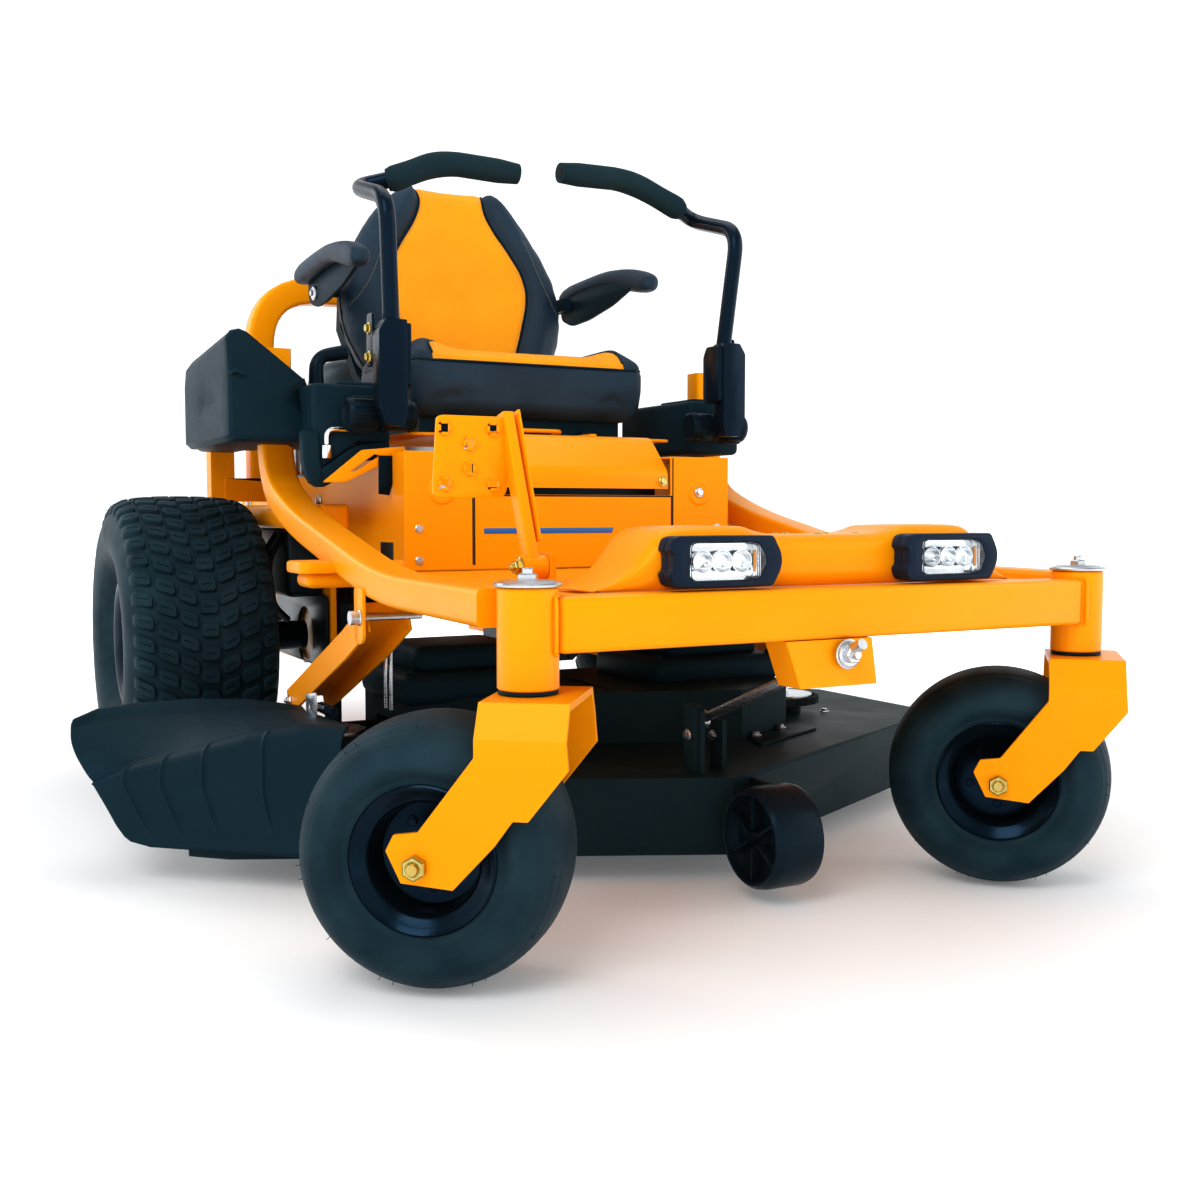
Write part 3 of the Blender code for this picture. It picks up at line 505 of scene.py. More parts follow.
# ---------------------------------------------------------------- chassis
def front_beam():
    """Cross beam with rounded corners, its castor tubes and their weld beads."""
    parts = [block((-0.3655, -0.030, 0.339), (0.3655, 0.020, 0.396), 0.006, 3)]
    tube_profile = [(0.0146, 0.303), (0.0300, 0.303), (0.0315, 0.3045), (0.0315, 0.4035),
                    (0.0300, 0.405), (0.0146, 0.405)]
    for side in SIDES.values():
        head = lathe(tube_profile, 56, ring=True)
        parts.append(moved(head, Matrix.Translation((CASTOR_X * side, 0, 0))))
        rim = rectangle(0.052, 0.059, 0.008, 4)
        bead = []
        for a, b in rim + rim[:1]:
            reach = math.sqrt(max(0.0, 0.0316 ** 2 - (a - 0.005) ** 2))
            x = CASTOR_X - max(reach, 0.0165)
            bead.append((x * side, a - 0.005, b + 0.3675))
        wobble = [1.0 + CHANCE.uniform(-0.22, 0.22) for _ in bead]
        parts.append(tube(bead, 0.0022, 2, wobble))
    piece("front_beam_tube", merged(*parts), YELLOW, "chassis", ("front_beam",))


def side_rails():
    """Bent rectangular tube arms with the run behind each post."""
    climb = rounded([(0.0325, 0.383), (0.36, 0.386), (0.77, 0.470), (0.912, 0.53),
                     (0.912, 0.738)], 0.10, 7)
    for name, side in SIDES.items():
        path = [(0.405 * side, y, z) for y, z in climb]
        low, high = sorted((0.325 * side, 0.370 * side))
        near, far = sorted((0.350 * side, 0.410 * side))
        ear = sorted((0.4290 * side, 0.4325 * side))
        rail = merged(sweep(path, rectangle(0.050, 0.040, 0.007), (1, 0, 0)),
                      block((low, 0.780, 0.452), (high, 1.3845, 0.492), 0.006, 3),
                      block((near, 0.785, 0.456), (far, 0.855, 0.488), 0.004),
                      slab([rounded([(0.388, 0.385), (0.388, 0.322), (0.396, 0.314), (0.414, 0.314),
                                     (0.422, 0.322), (0.422, 0.385)], 0.006, 3, True)],
                           "YZ", ear[0] - 0.001, ear[1], 0.0006))
        piece("side_rail_tube_" + name, rail, YELLOW, "chassis",
              ("side_rail_" + name,))
        plan = [(0.324 * side, 0.520), (0.474 * side, 0.520), (0.474 * side, 0.606), (0.324 * side, 0.606)]
        shelf = slab([rounded(plan, 0.020, 5, True)], "XY", 0.3975, 0.4140, 0.004)
        under = block((min(0.340 * side, 0.462 * side), 0.532, 0.3780),
                      (max(0.340 * side, 0.462 * side), 0.590, 0.3990), 0.010, 4)
        piece("rail_shelf_" + name, merged(shelf, under), YELLOW, "chassis")


def rear_frame():
    """Guard hoop of rectangular tube; the plates behind it are skinned CAD."""
    path = rounded([(-0.3045, 0.5455), (-0.3045, 0.9165), (0.3045, 0.9165), (0.3045, 0.5455)], 0.12, 9)
    hoop = sweep([(x, 1.410, z) for x, z in path], rectangle(0.048, 0.050, 0.008), (0, 1, 0))
    piece("guard_hoop", hoop, YELLOW, "chassis", ("rear_hoop",))
    dressed("rear_frame", YELLOW, 0.0012)
    bolts = []
    for side in SIDES.values():
        for y, z in ((1.12, 0.50), (1.40, 0.47), (1.64, 0.50), (1.64, 0.36)):
            bolts.append(bolt((0.2725 * side, y, z), (side, 0, 0), 0.008))
        bolts.append(bolt((0.25 * side, 1.7525, 0.36), (0, 1, 0), 0.008))
    piece("frame_bolts", merged(*bolts), ZINC, "chassis")


COWL_RISE = [(-0.296, 0.3975), (-0.272, 0.407), (-0.250, 0.424), (-0.232, 0.447), (-0.216, 0.4610),
             (-0.190, 0.4650), (-0.120, 0.4650), (-0.100, 0.4605), (-0.078, 0.4560), (-0.050, 0.4550),
             (0.050, 0.4550), (0.078, 0.4560), (0.100, 0.4605), (0.120, 0.4650), (0.190, 0.4650),
             (0.216, 0.4610), (0.232, 0.447), (0.250, 0.424), (0.272, 0.407), (0.296, 0.3975)]


def front_cowl():
    """Pressed steel cover, rolled over in front and swept down at its ends."""
    columns = smoothed([(x, z) for x, z in COWL_RISE], 3)
    bm = bmesh.new()
    rows = []
    for x, top in columns:
        low = 0.3968
        roll = min(0.020, (top - low) * 0.5)
        side_in = 0.012 * max(0.0, (abs(x) - 0.215) / 0.081)
        front = 0.0105 + side_in * 1.6
        line = [(front, low), (front, low + (top - roll - low) * 0.5), (front, top - roll)]
        for step in range(1, 6):
            turn = QUARTER * step / 6
            line.append((front + roll * (1 - math.cos(turn)), top - roll + roll * math.sin(turn)))
        line += [(front + roll, top), (front + roll * 0.5 + 0.052, top), (0.112, top - 0.0010),
                 (0.121, top - 0.0035), (0.1245, max(low, top - 0.009)),
                 (0.1250, max(low, top - 0.018))]
        rows.append([bm.verts.new((x, y, z)) for y, z in line])
    for first, second in zip(rows, rows[1:]):
        for i in range(len(first) - 1):
            bm.faces.new((first[i], second[i], second[i + 1], first[i + 1]))
    bmesh.ops.remove_doubles(bm, verts=bm.verts, dist=1e-5)
    bmesh.ops.recalc_face_normals(bm, faces=bm.faces)
    cowl = piece("cowl_pressing", bm, YELLOW, "chassis", ("front_cowl",), smooth=60)
    thick = cowl.modifiers.new("sheet", "SOLIDIFY")
    thick.thickness = 0.0025
    thick.offset = -1.0
    pips = [block((0.004 + x, 0.044 + y, 0.4548), (0.011 + x, 0.050 + y, 0.4563), 0.0006)
            for x, y in ((-0.060, 0.0), (-0.032, 0.018), (0.002, 0.0), (0.030, 0.020), (0.062, 0.004))]
    piece("cowl_clips", merged(*pips), GOLD, "chassis")


def headlights():
    """Lamps: notched bezel, three reflector cups, an amber strip and a clear lens."""
    for name, side in SIDES.items():
        x, z, front = 0.16 * side, 0.4275, -0.0180
        half_w, half_h, cut = 0.072, 0.0275, 0.012
        outer = [(x - half_w, z - 0.012), (x - half_w + 0.004, z - half_h + 0.003),
                 (x - half_w + cut, z - half_h), (x + half_w - cut, z - half_h),
                 (x + half_w - 0.002, z - 0.010), (x + half_w, z), (x + half_w - 0.002, z + 0.010),
                 (x + half_w - cut, z + half_h), (x - half_w + cut, z + half_h),
                 (x - half_w + 0.004, z + half_h - 0.003), (x - half_w, z + 0.012),
                 (x - half_w + 0.005, z + 0.009), (x - half_w + 0.005, z - 0.009)]
        hole = [(x + a, z + b) for a, b in rounded(
            [(-0.047, -0.0205), (0.040, -0.0205), (0.050, -0.006), (0.050, 0.006), (0.040, 0.0205),
             (-0.047, 0.0205)], 0.007, 3, True)]
        bezel = slab([rounded(outer, 0.004, 3, True), hole], "XZ", front, front + 0.016, 0.0018)
        tray = slab([rounded(outer, 0.004, 3, True)], "XZ", front + 0.0155, 0.0100, 0.001)
        slot_in = block((x - half_w + 0.010, front - 0.0004, z - 0.008),
                        (x - half_w + 0.0165, front + 0.004, z + 0.008), 0.001)
        piece("lamp_housing_" + name, merged(bezel, tray, slot_in), LAMP, "chassis",
              ("headlight_" + name,))
        cup = [(0.0035, 0.0), (0.0062, 0.0006), (0.0088, 0.0030), (0.0106, 0.0062), (0.0115, 0.0095),
               (0.0122, 0.0095), (0.0114, 0.0050), (0.0090, 0.0010), (0.0050, -0.0012)]
        cups, chips = [], []
        for step in (-1, 0, 1):
            place = aimed((x - 0.004 + 0.0245 * step, front + 0.0140, z), (0, -1, 0))
            cups.append(moved(lathe(cup, 28), place))
            chips.append(moved(lathe([(0, 0.0012), (0.0026, 0.0012), (0.0032, 0.0004), (0.0032, -0.001),
                                      (0, -0.001)], 16), place))
        ribs = [block((x + 0.0385 + 0.0022 * i, front + 0.004, z - 0.016),
                      (x + 0.0395 + 0.0022 * i, front + 0.0140, z + 0.016), 0.0003) for i in range(3)]
        plate = block((x - 0.0465, front + 0.0125, z - 0.0200), (x + 0.0490, front + 0.0150, z + 0.0200),
                      0.0008)
        piece("lamp_reflectors_" + name, merged(*cups, *ribs, plate), CHROME, "chassis")
        piece("lamp_diodes_" + name, merged(*chips), ENGINE_BLACK, "chassis")
        strip = block((x + 0.0345, front + 0.0030, z - 0.0115), (x + 0.0375, front + 0.0060, z + 0.0115),
                      0.0006)
        piece("lamp_strip_" + name, strip, YELLOW, "chassis")
        glass = [(x + (a - x) * 0.985, z + (b - z) * 0.97) for a, b in hole]
        piece("lamp_lens_" + name, slab([glass], "XZ", front - 0.0008, front + 0.0018, 0.0008), LENS,
              "chassis")


def seat_box():
    """Folded sheet box: panel lines as dark strips of painted shade, stripe, dimples, bolts and its bent
    brackets.
    """
    dressed("seat_box", YELLOW, 0.0018)
    dressed("foot_pan", YELLOW, 0.0008)
    front = 0.645
    # dark strips laid on the box's front face: painted shade where the panel gaps are
    shaded_gaps = [block((x - 0.0011, front - 0.0006, low), (x + 0.0011, front + 0.001, high), 0.0003, 1)
            for x, low, high in ((-0.176, 0.4005, 0.568), (0.176, 0.4005, 0.568),
                                 (-0.1735, 0.400, 0.505), (0.1735, 0.400, 0.505))]
    shaded_gaps.append(block((-0.176, front - 0.0006, 0.5040), (0.176, front + 0.001, 0.5065), 0.0003, 1))
    piece("box_gap_shade", merged(*shaded_gaps), GAP_SHADE, "chassis")
    stripe = slab([[(-0.158, 0.447), (0.062, 0.447), (0.066, 0.4555), (-0.158, 0.4555)]], "XZ",
                  front - 0.0009, front + 0.001, 0.0003)
    piece("box_stripe", stripe, BLUE, "chassis")
    studs, dimples = [], []
    for x, z in ((-0.226, 0.512), (0.226, 0.512)):
        dimples.append(moved(lathe([(0, 0.0005), (0.012, 0.0008), (0.0175, 0.0022), (0.0195, 0.0018),
                                    (0.0215, 0.0), (0, -0.001)], 40), aimed((x, front, z), (0, -1, 0))))
        studs.append(bolt((x, front - 0.001, z), (0, -1, 0), 0.0058))
    for x, z in ((-0.262, 0.455), (0.262, 0.455), (-0.262, 0.408), (0.262, 0.408)):
        studs.append(bolt((x, front, z), (0, -1, 0), 0.0045))
    shelf = slab([rounded([(-0.390, 0.5235), (-0.356, 0.5235), (-0.262, 0.5690), (-0.262, 0.5790),
                           (-0.309, 0.5740), (-0.330, 0.5720)], 0.004, 3, True),
                  [(-0.3480, 0.5400), (-0.3400, 0.5400), (-0.3020, 0.5640), (-0.3100, 0.5660)]],
                 "XZ", 0.7000, 0.7035, 0.0008)
    piece("tank_shelf", shelf, YELLOW, "chassis")
    strap = slab([[(-0.3050, 0.5640), (-0.3060, 0.5070), (-0.2890, 0.5050), (-0.2720, 0.5640)]], "XZ",
                 0.6960, 0.6990, 0.0006)
    piece("shelf_strap", strap, BLACK, "chassis")
    piece("box_dimples", merged(*dimples), YELLOW, "chassis")
    piece("box_bolts", merged(*studs), ZINC, "chassis")


def box_shade_sheet():
    """Dark sheet behind the slot between the box and the platform: painted shade for the box's dark inside.
    """
    # a black sheet placed where there is only shade inside the box
    panel = block((-0.168, 0.688, 0.470), (0.168, 0.692, 0.560), 0.001)
    piece("box_inside_shade", panel, ENGINE_BLACK, "chassis")


def seat_platform():
    """Tipping plate with its folded front and hinge bolts."""
    fold = rounded([(0.6485, 0.5175), (0.6485, 0.545), (0.705, 0.6015), (1.10, 0.6015)], 0.012, 5)
    plate = sweep([(0, y, z) for y, z in fold], rectangle(0.336, 0.004, 0.0015, 2), (1, 0, 0))
    wings = slab([rounded([(-0.235, 0.745), (0.235, 0.745), (0.235, 1.10), (-0.235, 1.10)], 0.02, 4,
                          True)], "XY", 0.5993, 0.6038, 0.001)
    ribs = [block((x - 0.006, 0.720, 0.6030), (x + 0.006, 0.835, 0.6075), 0.002) for x in (-0.07, 0.07)]
    piece("seat_plate", merged(plate, wings, *ribs), YELLOW, "seat_base",
          ("seat_platform",))
    pins = [bolt((x, 0.6460, 0.529), (0, -1, 0), 0.0058) for x in (-0.158, 0.158)]
    piece("seat_hinge_bolts", merged(*pins), GOLD, "seat_base")


def front_hanger():
    """Welded channel under the beam, its slot, washer, lock nut and stop."""
    dressed("front_hanger", YELLOW, 0.0012)
    collar = moved(lathe([(0.0068, 0), (0.017, 0), (0.017, 0.0022), (0.0155, 0.003), (0.0068, 0.003)],
                         32, ring=True), aimed((-0.010, -0.0335, 0.322), (0, -1, 0)))
    nut = bolt((-0.010, -0.0375, 0.322), (0, -1, 0), 0.0105, stud=True)
    piece("hanger_nut", merged(collar, nut), ZINC, "hanger_link")
    tie = moved(lathe([(0, 0), (0.0062, 0), (0.0065, 0.001), (0.0065, 0.349), (0.0062, 0.350), (0, 0.350)],
                      20), aimed((-0.010, -0.060, 0.3353), (0, 0.328, -0.130)))
    eye = moved(lathe([(0.006, -0.006), (0.0125, -0.006), (0.0125, 0.006), (0.006, 0.006)], 28,
                      ring=True), aimed((-0.010, 0.266, 0.206), (1, 0, 0)))
    piece("hanger_tie_rod", merged(tie, eye), ZINC, "hanger_link", ("hanger_rod",))


# ---------------------------------------------------------------- wheels
def castor_frame(name):
    """The turned frame of a castor about its pivot."""
    return (Matrix.Translation((CASTOR_X * SIDES[name], 0, 0))
            @ Matrix.Rotation(CASTOR_YAW[name], 4, "Z"))


CASTOR_TYRE = [(0.0641, 0.0560), (0.0665, 0.0592), (0.0700, 0.0605), (0.0735, 0.0612), (0.0760, 0.0636),
               (0.0785, 0.0640), (0.0820, 0.0655), (0.0880, 0.0702), (0.0940, 0.0738), (0.1000, 0.0748),
               (0.1070, 0.0738), (0.1140, 0.0712), (0.1200, 0.0670), (0.1262, 0.0600), (0.1315, 0.0510),
               (0.1348, 0.0415), (0.1373, 0.0290), (0.1388, 0.0150), (0.1393, 0.0040), (0.1397, 0.0)]
CASTOR_RIM = [(0.0086, 0.0775), (0.0150, 0.0775), (0.0180, 0.0750), (0.0180, 0.0300), (0.0230, 0.0240),
              (0.0420, 0.0225), (0.0520, 0.0270), (0.0545, 0.0380), (0.0565, 0.0560), (0.0600, 0.0600),
              (0.0680, 0.0625), (0.0735, 0.0668), (0.0755, 0.0655), (0.0760, 0.0628), (0.0700, 0.0590),
              (0.0633, 0.0560), (0.0605, 0.0)]


def ribbed(profile, grooves):
    """Cut fine rings into a profile of (radius, height) points."""
    result = []
    for radius, height in profile:
        near = min(abs(radius - ring) for ring in grooves)
        result.append((radius - (0.0006 if near < 0.0009 else 0.0), height))
    return result


def castors():
    """Fork, spindle cap, axle bolt, rim and tyre of each castor."""
    for name, side in SIDES.items():
        pivot = castor_frame(name)
        dressed("castor_fork_" + name, YELLOW, 0.0013)
        cup = lathe([(0.0140, 0.3025), (0.0140, 0.4056), (0.0325, 0.4056), (0.0345, 0.4066),
                     (0.0350, 0.4085), (0.0335, 0.4102), (0.0290, 0.4108), (0.0265, 0.4122),
                     (0.0200, 0.4128), (0.0150, 0.4116), (0.0120, 0.4125), (0.0, 0.4125)], 56)
        top = merged(cup, hexagon(0.0105, 0.4122, 0.4190),
                     lathe([(0, 0.418), (0.0055, 0.418), (0.0055, 0.4235), (0.0045, 0.4248), (0, 0.4248)],
                           20))
        piece("castor_cap_" + name, top, ZINC, "castor_" + name, ("castor_spindle_" + name,),
              pivot)
        seal = lathe([(0.0142, 0.2990), (0.0305, 0.2990), (0.0310, 0.3000), (0.0300, 0.3026),
                      (0.0142, 0.3026)], 40, ring=True)
        piece("castor_seal_" + name, seal, PLASTIC, "castor_" + name, (), pivot)

        wheel = pivot @ Matrix.Translation((0, CASTOR_TRAIL, CASTOR_R)) @ Matrix.Rotation(QUARTER, 4, "Y")
        body = "castor_wheel_" + name
        half = smoothed(CASTOR_TYRE, 4)
        outside = half + [(r, -z) for r, z in half[-2::-1]]
        inside = [(0.0641, -0.0440), (0.098, -0.064), (0.122, -0.050), (0.130, 0.0), (0.122, 0.050),
                  (0.098, 0.064), (0.0641, 0.0440)]
        grooves = (0.0795, 0.0955, 0.1165, 0.1285, 0.1335)
        tyre = [lathe(ribbed(outside, grooves) + inside, 96, ring=True)]
        for i in range(34):
            angle = 2 * math.pi * i / 17 + 0.13 * (i % 3)
            edge = 1 if i < 17 else -1
            outward = Vector((math.cos(angle), math.sin(angle), edge * 0.75)).normalized()
            root = Vector((0.1300 * math.cos(angle), 0.1300 * math.sin(angle), 0.0535 * edge))
            hair = lathe([(0, 0), (0.00045, 0), (0.00035, 0.0045), (0, 0.0045)], 5)
            tyre.append(moved(hair, aimed(root, outward)))
        piece("castor_rubber_" + name, merged(*tyre), TYRE, body, ("castor_tyre_" + name,), wheel,
              50)

        section = CASTOR_RIM + [(r, -z) for r, z in CASTOR_RIM[-2::-1]]
        rim = [lathe(section, 72, ring=True)]
        for i in range(5):
            angle = 2 * math.pi * i / 5
            for face in (-1, 1):
                rim.append(bolt((0.036 * math.cos(angle), 0.036 * math.sin(angle), 0.0222 * face),
                                (0, 0, face), 0.0045))
        piece("castor_dish_" + name, merged(*rim), RIM_BLACK, body, ("castor_rim_" + name,),
              wheel)
        axle = merged(lathe([(0, -0.0990), (0.0055, -0.0990), (0.0060, -0.0980), (0.0060, -0.0950),
                             (0.0080, -0.0950), (0.0080, 0.0855), (0, 0.0855)], 24),
                      hexagon(0.0125, 0.0870, 0.0945),
                      lathe([(0, 0.0855), (0.0155, 0.0855), (0.0155, 0.0865), (0.014, 0.0875), (0, 0.0875)],
                            32),
                      lathe([(0, 0.094), (0.0088, 0.094), (0.0080, 0.0958), (0, 0.0958)], 24),
                      moved(hexagon(0.0125, 0.0855, 0.0950), Matrix.Rotation(math.pi, 4, "X")))
        piece("castor_bolt_" + name, axle, GOLD, "castor_" + name, ("castor_axle_" + name,),
              wheel)


REAR_TYRE = [(0.1024, 0.0840), (0.1060, 0.0868), (0.1130, 0.0892), (0.1200, 0.0905), (0.1270, 0.0950),
             (0.1360, 0.1042), (0.1500, 0.1160), (0.1650, 0.1222), (0.1800, 0.1243), (0.1950, 0.1235),
             (0.2080, 0.1203), (0.2200, 0.1145), (0.2300, 0.1065), (0.2385, 0.0950), (0.2430, 0.0780),
             (0.2452, 0.0540), (0.2462, 0.0280), (0.2466, 0.0)]
TREAD_TOP = [(0.0, 0.2538), (0.035, 0.2534), (0.070, 0.2514), (0.095, 0.2468), (0.108, 0.2390),
             (0.120, 0.2240)]
TREAD_ROWS = ((-0.1000, 0.0270), (-0.0655, 0.0290), (-0.0325, 0.0270), (0.0, 0.0270), (0.0325, 0.0270),
              (0.0655, 0.0290), (0.1000, 0.0270))
TREAD_COUNT = 42


def tread_lug(bm, angle, across, width, slant):
    """One raised block of the tread: a slanted rounded bar with a sipe along it."""
    outline = rectangle(0.0225, width, 0.0065, 3)
    rows = []
    for inset, drop in ((1.12, 0.0105), (1.0, 0.0014), (0.93, 0.0), (0.35, 0.0), (0.30, 0.0016)):
        ring = []
        for u, v in outline:
            if inset >= 0.9:
                u, v = u * inset, v * (1 + (inset - 1) * 0.8)
            else:
                u, v = u * inset * 0.35, v * inset * 1.9
            z = across + v
            radius = interpolate(TREAD_TOP, abs(z)) - drop
            turn = angle + (u + v * slant) / 0.25
            ring.append(bm.verts.new((radius * math.cos(turn), radius * math.sin(turn), z)))
        rows.append(ring)
    for low, high in zip(rows, rows[1:]):
        for i in range(len(low)):
            j = (i + 1) % len(low)
            bm.faces.new((low[i], low[j], high[j], high[i]))
    bm.faces.new(rows[-1])


REAR_RIM = [(0.0, -0.2205), (0.026, -0.2205), (0.030, -0.026), (0.086, -0.024), (0.092, -0.085),
            (0.1130, -0.0975), (0.1160, -0.0960), (0.1160, -0.0925), (0.1014, -0.084), (0.0975, -0.030),
            (0.0975, 0.030), (0.1014, 0.084), (0.1160, 0.0925), (0.1162, 0.0958), (0.1130, 0.0975),
            (0.1080, 0.0965), (0.1020, 0.0915), (0.0960, 0.0880), (0.0925, 0.0820), (0.0905, 0.0450),
            (0.0895, 0.0120), (0.0860, -0.0060), (0.0780, -0.0120), (0.0640, -0.0115), (0.0560, -0.0040),
            (0.0480, -0.0010), (0.0300, 0.0000), (0.0290, 0.0080), (0.0240, 0.0100), (0.0, 0.0100)]


def rear_wheels():
    """Turf tyres with rows of lugs, gloss rims, wheel bolts and valve."""
    half = smoothed(REAR_TYRE, 4)
    outside = half + [(r, -z) for r, z in half[-2::-1]]
    inside = [(0.1024, -0.068), (0.180, -0.110), (0.215, -0.098), (0.238, 0.0), (0.215, 0.098),
              (0.180, 0.110), (0.1024, 0.068)]
    for name, side in SIDES.items():
        wheel = (Matrix.Translation((REAR_X * side, REAR_Y, REAR_R))
                 @ Matrix.Rotation(QUARTER * side, 4, "Y"))
        body = "rear_wheel_" + name
        carcass = lathe(ribbed(outside, (0.1255, 0.1395, 0.1700, 0.2060)) + inside, 112, ring=True)
        lugs = bmesh.new()
        for row, (across, width) in enumerate(TREAD_ROWS):
            slant = 0.42 if across > 0.001 else -0.42 if across < -0.001 else 0.0
            for i in range(TREAD_COUNT):
                angle = 2 * math.pi * (i + 0.5 * (row % 2)) / TREAD_COUNT
                tread_lug(lugs, angle, across, width, slant)
        hairs = []
        for i in range(60):
            angle = 2 * math.pi * i / 60 + CHANCE.uniform(-0.03, 0.03)
            edge = 0.108 if i % 2 else -0.108
            root = Vector((0.2370 * math.cos(angle), 0.2370 * math.sin(angle), edge))
            outward = Vector((math.cos(angle), math.sin(angle), 12 * edge)).normalized()
            hair = lathe([(0, 0), (0.00045, 0), (0.00035, 0.006), (0, 0.006)], 5)
            hairs.append(moved(hair, aimed(root, outward)))
        piece("rear_rubber_" + name, merged(carcass, lugs, *hairs), TYRE, body,
              ("rear_tyre_" + name,), wheel, 40)
        rim = [lathe(REAR_RIM, 88)]
        for i in range(4):
            angle = 2 * math.pi * (i + 0.5) / 4
            at = (0.040 * math.cos(angle), 0.040 * math.sin(angle), -0.0005)
            boss = lathe([(0, 0), (0.013, 0), (0.012, 0.003), (0, 0.003)], 24)
            rim.append(moved(boss, aimed(at, (0, 0, 1))))
        rim.append(moved(lathe([(0, 0), (0.004, 0), (0.0035, 0.022), (0.0045, 0.023), (0.0045, 0.030),
                                (0, 0.030)], 16), aimed((0.084, 0, 0.020), (-0.5, 0, 1))))
        piece("rear_dish_" + name, merged(*rim), RIM_BLACK, body, ("rear_rim_" + name,),
              wheel)
        nuts = [bolt((0.040 * math.cos(a), 0.040 * math.sin(a), 0.0025), (0, 0, 1), 0.0085, stud=True)
                for a in (2 * math.pi * (i + 0.5) / 4 for i in range(4))]
        piece("rear_wheel_nuts_" + name, merged(*nuts), ZINC, body, (), wheel)


# ---------------------------------------------------------------- cutting deck
def deck():
    """Deck shell with hinge plates, belt covers, pins, spindles, belt and roller."""
    dressed("deck_shell", DECK_BLACK, 0.0022)
    for name in ("left", "centre", "right"):
        dressed("blade_spindle_" + name, ZINC, 0.0008)
    repaint("deck_belt", BELT)
    plates, pins = [], []
    plates.append(slab([rounded([(0.16, 0.372), (0.33, 0.455), (0.33, 0.51), (0.21, 0.50)], 0.012, 3,
                                True), circle(0.007, 16, (0.25, 0.468))],
                       "XY", 0.1380, 0.1415, 0.0008))
    plates.append(block((-0.030, 0.250, 0.134), (-0.017, 0.280, 0.228), 0.0016))
    plates.append(block((0.012, 0.250, 0.134), (0.020, 0.280, 0.205), 0.0016))
    for x in (-0.18, 0.0, 0.18):
        plates.append(block((x - 0.004, 0.530, 0.212), (x + 0.004, 0.760, 0.2165), 0.0015))
    piece("deck_plates", merged(*plates), DECK_BLACK, "deck")
    covers = []
    for side in SIDES.values():
        for inner, outer, front, back, low, high in ((0.085, 0.322, 0.546, 0.748, 0.206, 0.252),
                                                     (0.125, 0.296, 0.572, 0.724, 0.246, 0.288)):
            near, far = sorted((inner * side, outer * side))
            covers.append(block((near, front, low), (far, back, high), 0.014, 4))
        for x, y in ((0.100, 0.562), (0.308, 0.562), (0.308, 0.732)):
            covers.append(bolt((x * side, y, 0.2520), (0, 0, 1), 0.0050))
    piece("belt_covers", merged(*covers), PLASTIC, "deck")
    for x, y, z in ((-0.0235, 0.2665, 0.187), (0.016, 0.2665, 0.183)):
        pins.append(bolt((x - 0.0075, y, z), (-1, 0, 0), 0.0055))
    for x, y in ((0.275, 0.480), (0.20, 0.44), (-0.20, 0.60), (-0.20, 0.74), (0.20, 0.60), (0.20, 0.74)):
        pins.append(bolt((x, y, 0.2135 if abs(x) == 0.20 and y > 0.5 else 0.1415), (0, 0, 1), 0.006))
    for side in SIDES.values():
        pins.append(bolt((0.3595 * side, 0.785, 0.196), (side, 0, 0), 0.006, stud=True))
        for x, y in ((0.455, 0.70), (0.455, 0.60), (0.55, 0.82)):
            pins.append(bolt((x * side, y, 0.1375), (0, 0, 1), 0.0058))
    piece("deck_bolts", merged(*pins), ZINC, "deck")

    bore = [(0.0, -0.0300), (0.0090, -0.0300), (0.0100, -0.0240), (0.0200, -0.0240), (0.0260, -0.0150),
            (0.0460, -0.0130), (0.0530, -0.0200), (0.0555, -0.0330), (0.0580, -0.0360),
            (0.0615, -0.0340), (0.0634, -0.0270), (0.0635, 0.0), (0.0634, 0.0180), (0.0615, 0.0290),
            (0.0570, 0.0340), (0.0540, 0.0330), (0.0520, 0.0230), (0.0460, 0.0170), (0.0200, 0.0150),
            (0.0150, 0.0100), (0.0, 0.0100)]
    webs = []
    for i in range(6):
        angle = 2 * math.pi * i / 6
        web = block((0.012, -0.0018, -0.030), (0.053, 0.0018, 0.0300), 0.0008)
        webs.append(moved(web, Matrix.Rotation(angle, 4, "Z")))
    roller = (Matrix.Translation((0.0, 0.121, 0.080)) @ Matrix.Rotation(-QUARTER, 4, "Y"))
    piece("roller_wheel", merged(lathe(bore, 72), *webs), SMOOTH_PLASTIC, "roller",
          ("deck_roller",), roller)
    axle = moved(lathe([(0, 0), (0.0065, 0), (0.0065, 0.012), (0, 0.012)], 20),
                 aimed((0.0370, 0.121, 0.080), (1, 0, 0)))
    piece("roller_axle", merged(axle, bolt((0.0472, 0.121, 0.080), (1, 0, 0), 0.0070, stud=True)),
          ZINC, "deck")


CHUTE_START = Vector((-0.470, 0.367))
CHUTE_ALONG = Vector((-0.7363, 0.6767))
CHUTE_BEHIND = Vector((0.6767, 0.7363))
CHUTE_RIDGE = [(0.0, 0.2150), (0.062, 0.2140), (0.134, 0.2020), (0.210, 0.1800), (0.291, 0.1560),
               (0.352, 0.1300)]
CHUTE_END = [(0.0505, 0.268), (0.053, 0.290), (0.059, 0.303), (0.075, 0.3165), (0.100, 0.332),
             (0.130, 0.352)]
CHUTE_REAR = [(0.0, (-0.4350, 0.7020, 0.1960)), (0.30, (-0.5000, 0.7110, 0.2100)),
              (0.55, (-0.5800, 0.7120, 0.2180)), (0.80, (-0.6600, 0.7115, 0.2175)),
              (0.93, (-0.7050, 0.7060, 0.2130)), (1.0, (-0.7350, 0.6840, 0.2030))]
CHUTE_ROLL = 0.024            # radius of the hood's rolled front edge
CHUTE_RIBS = (0.300, 0.540, 0.710, 0.865)


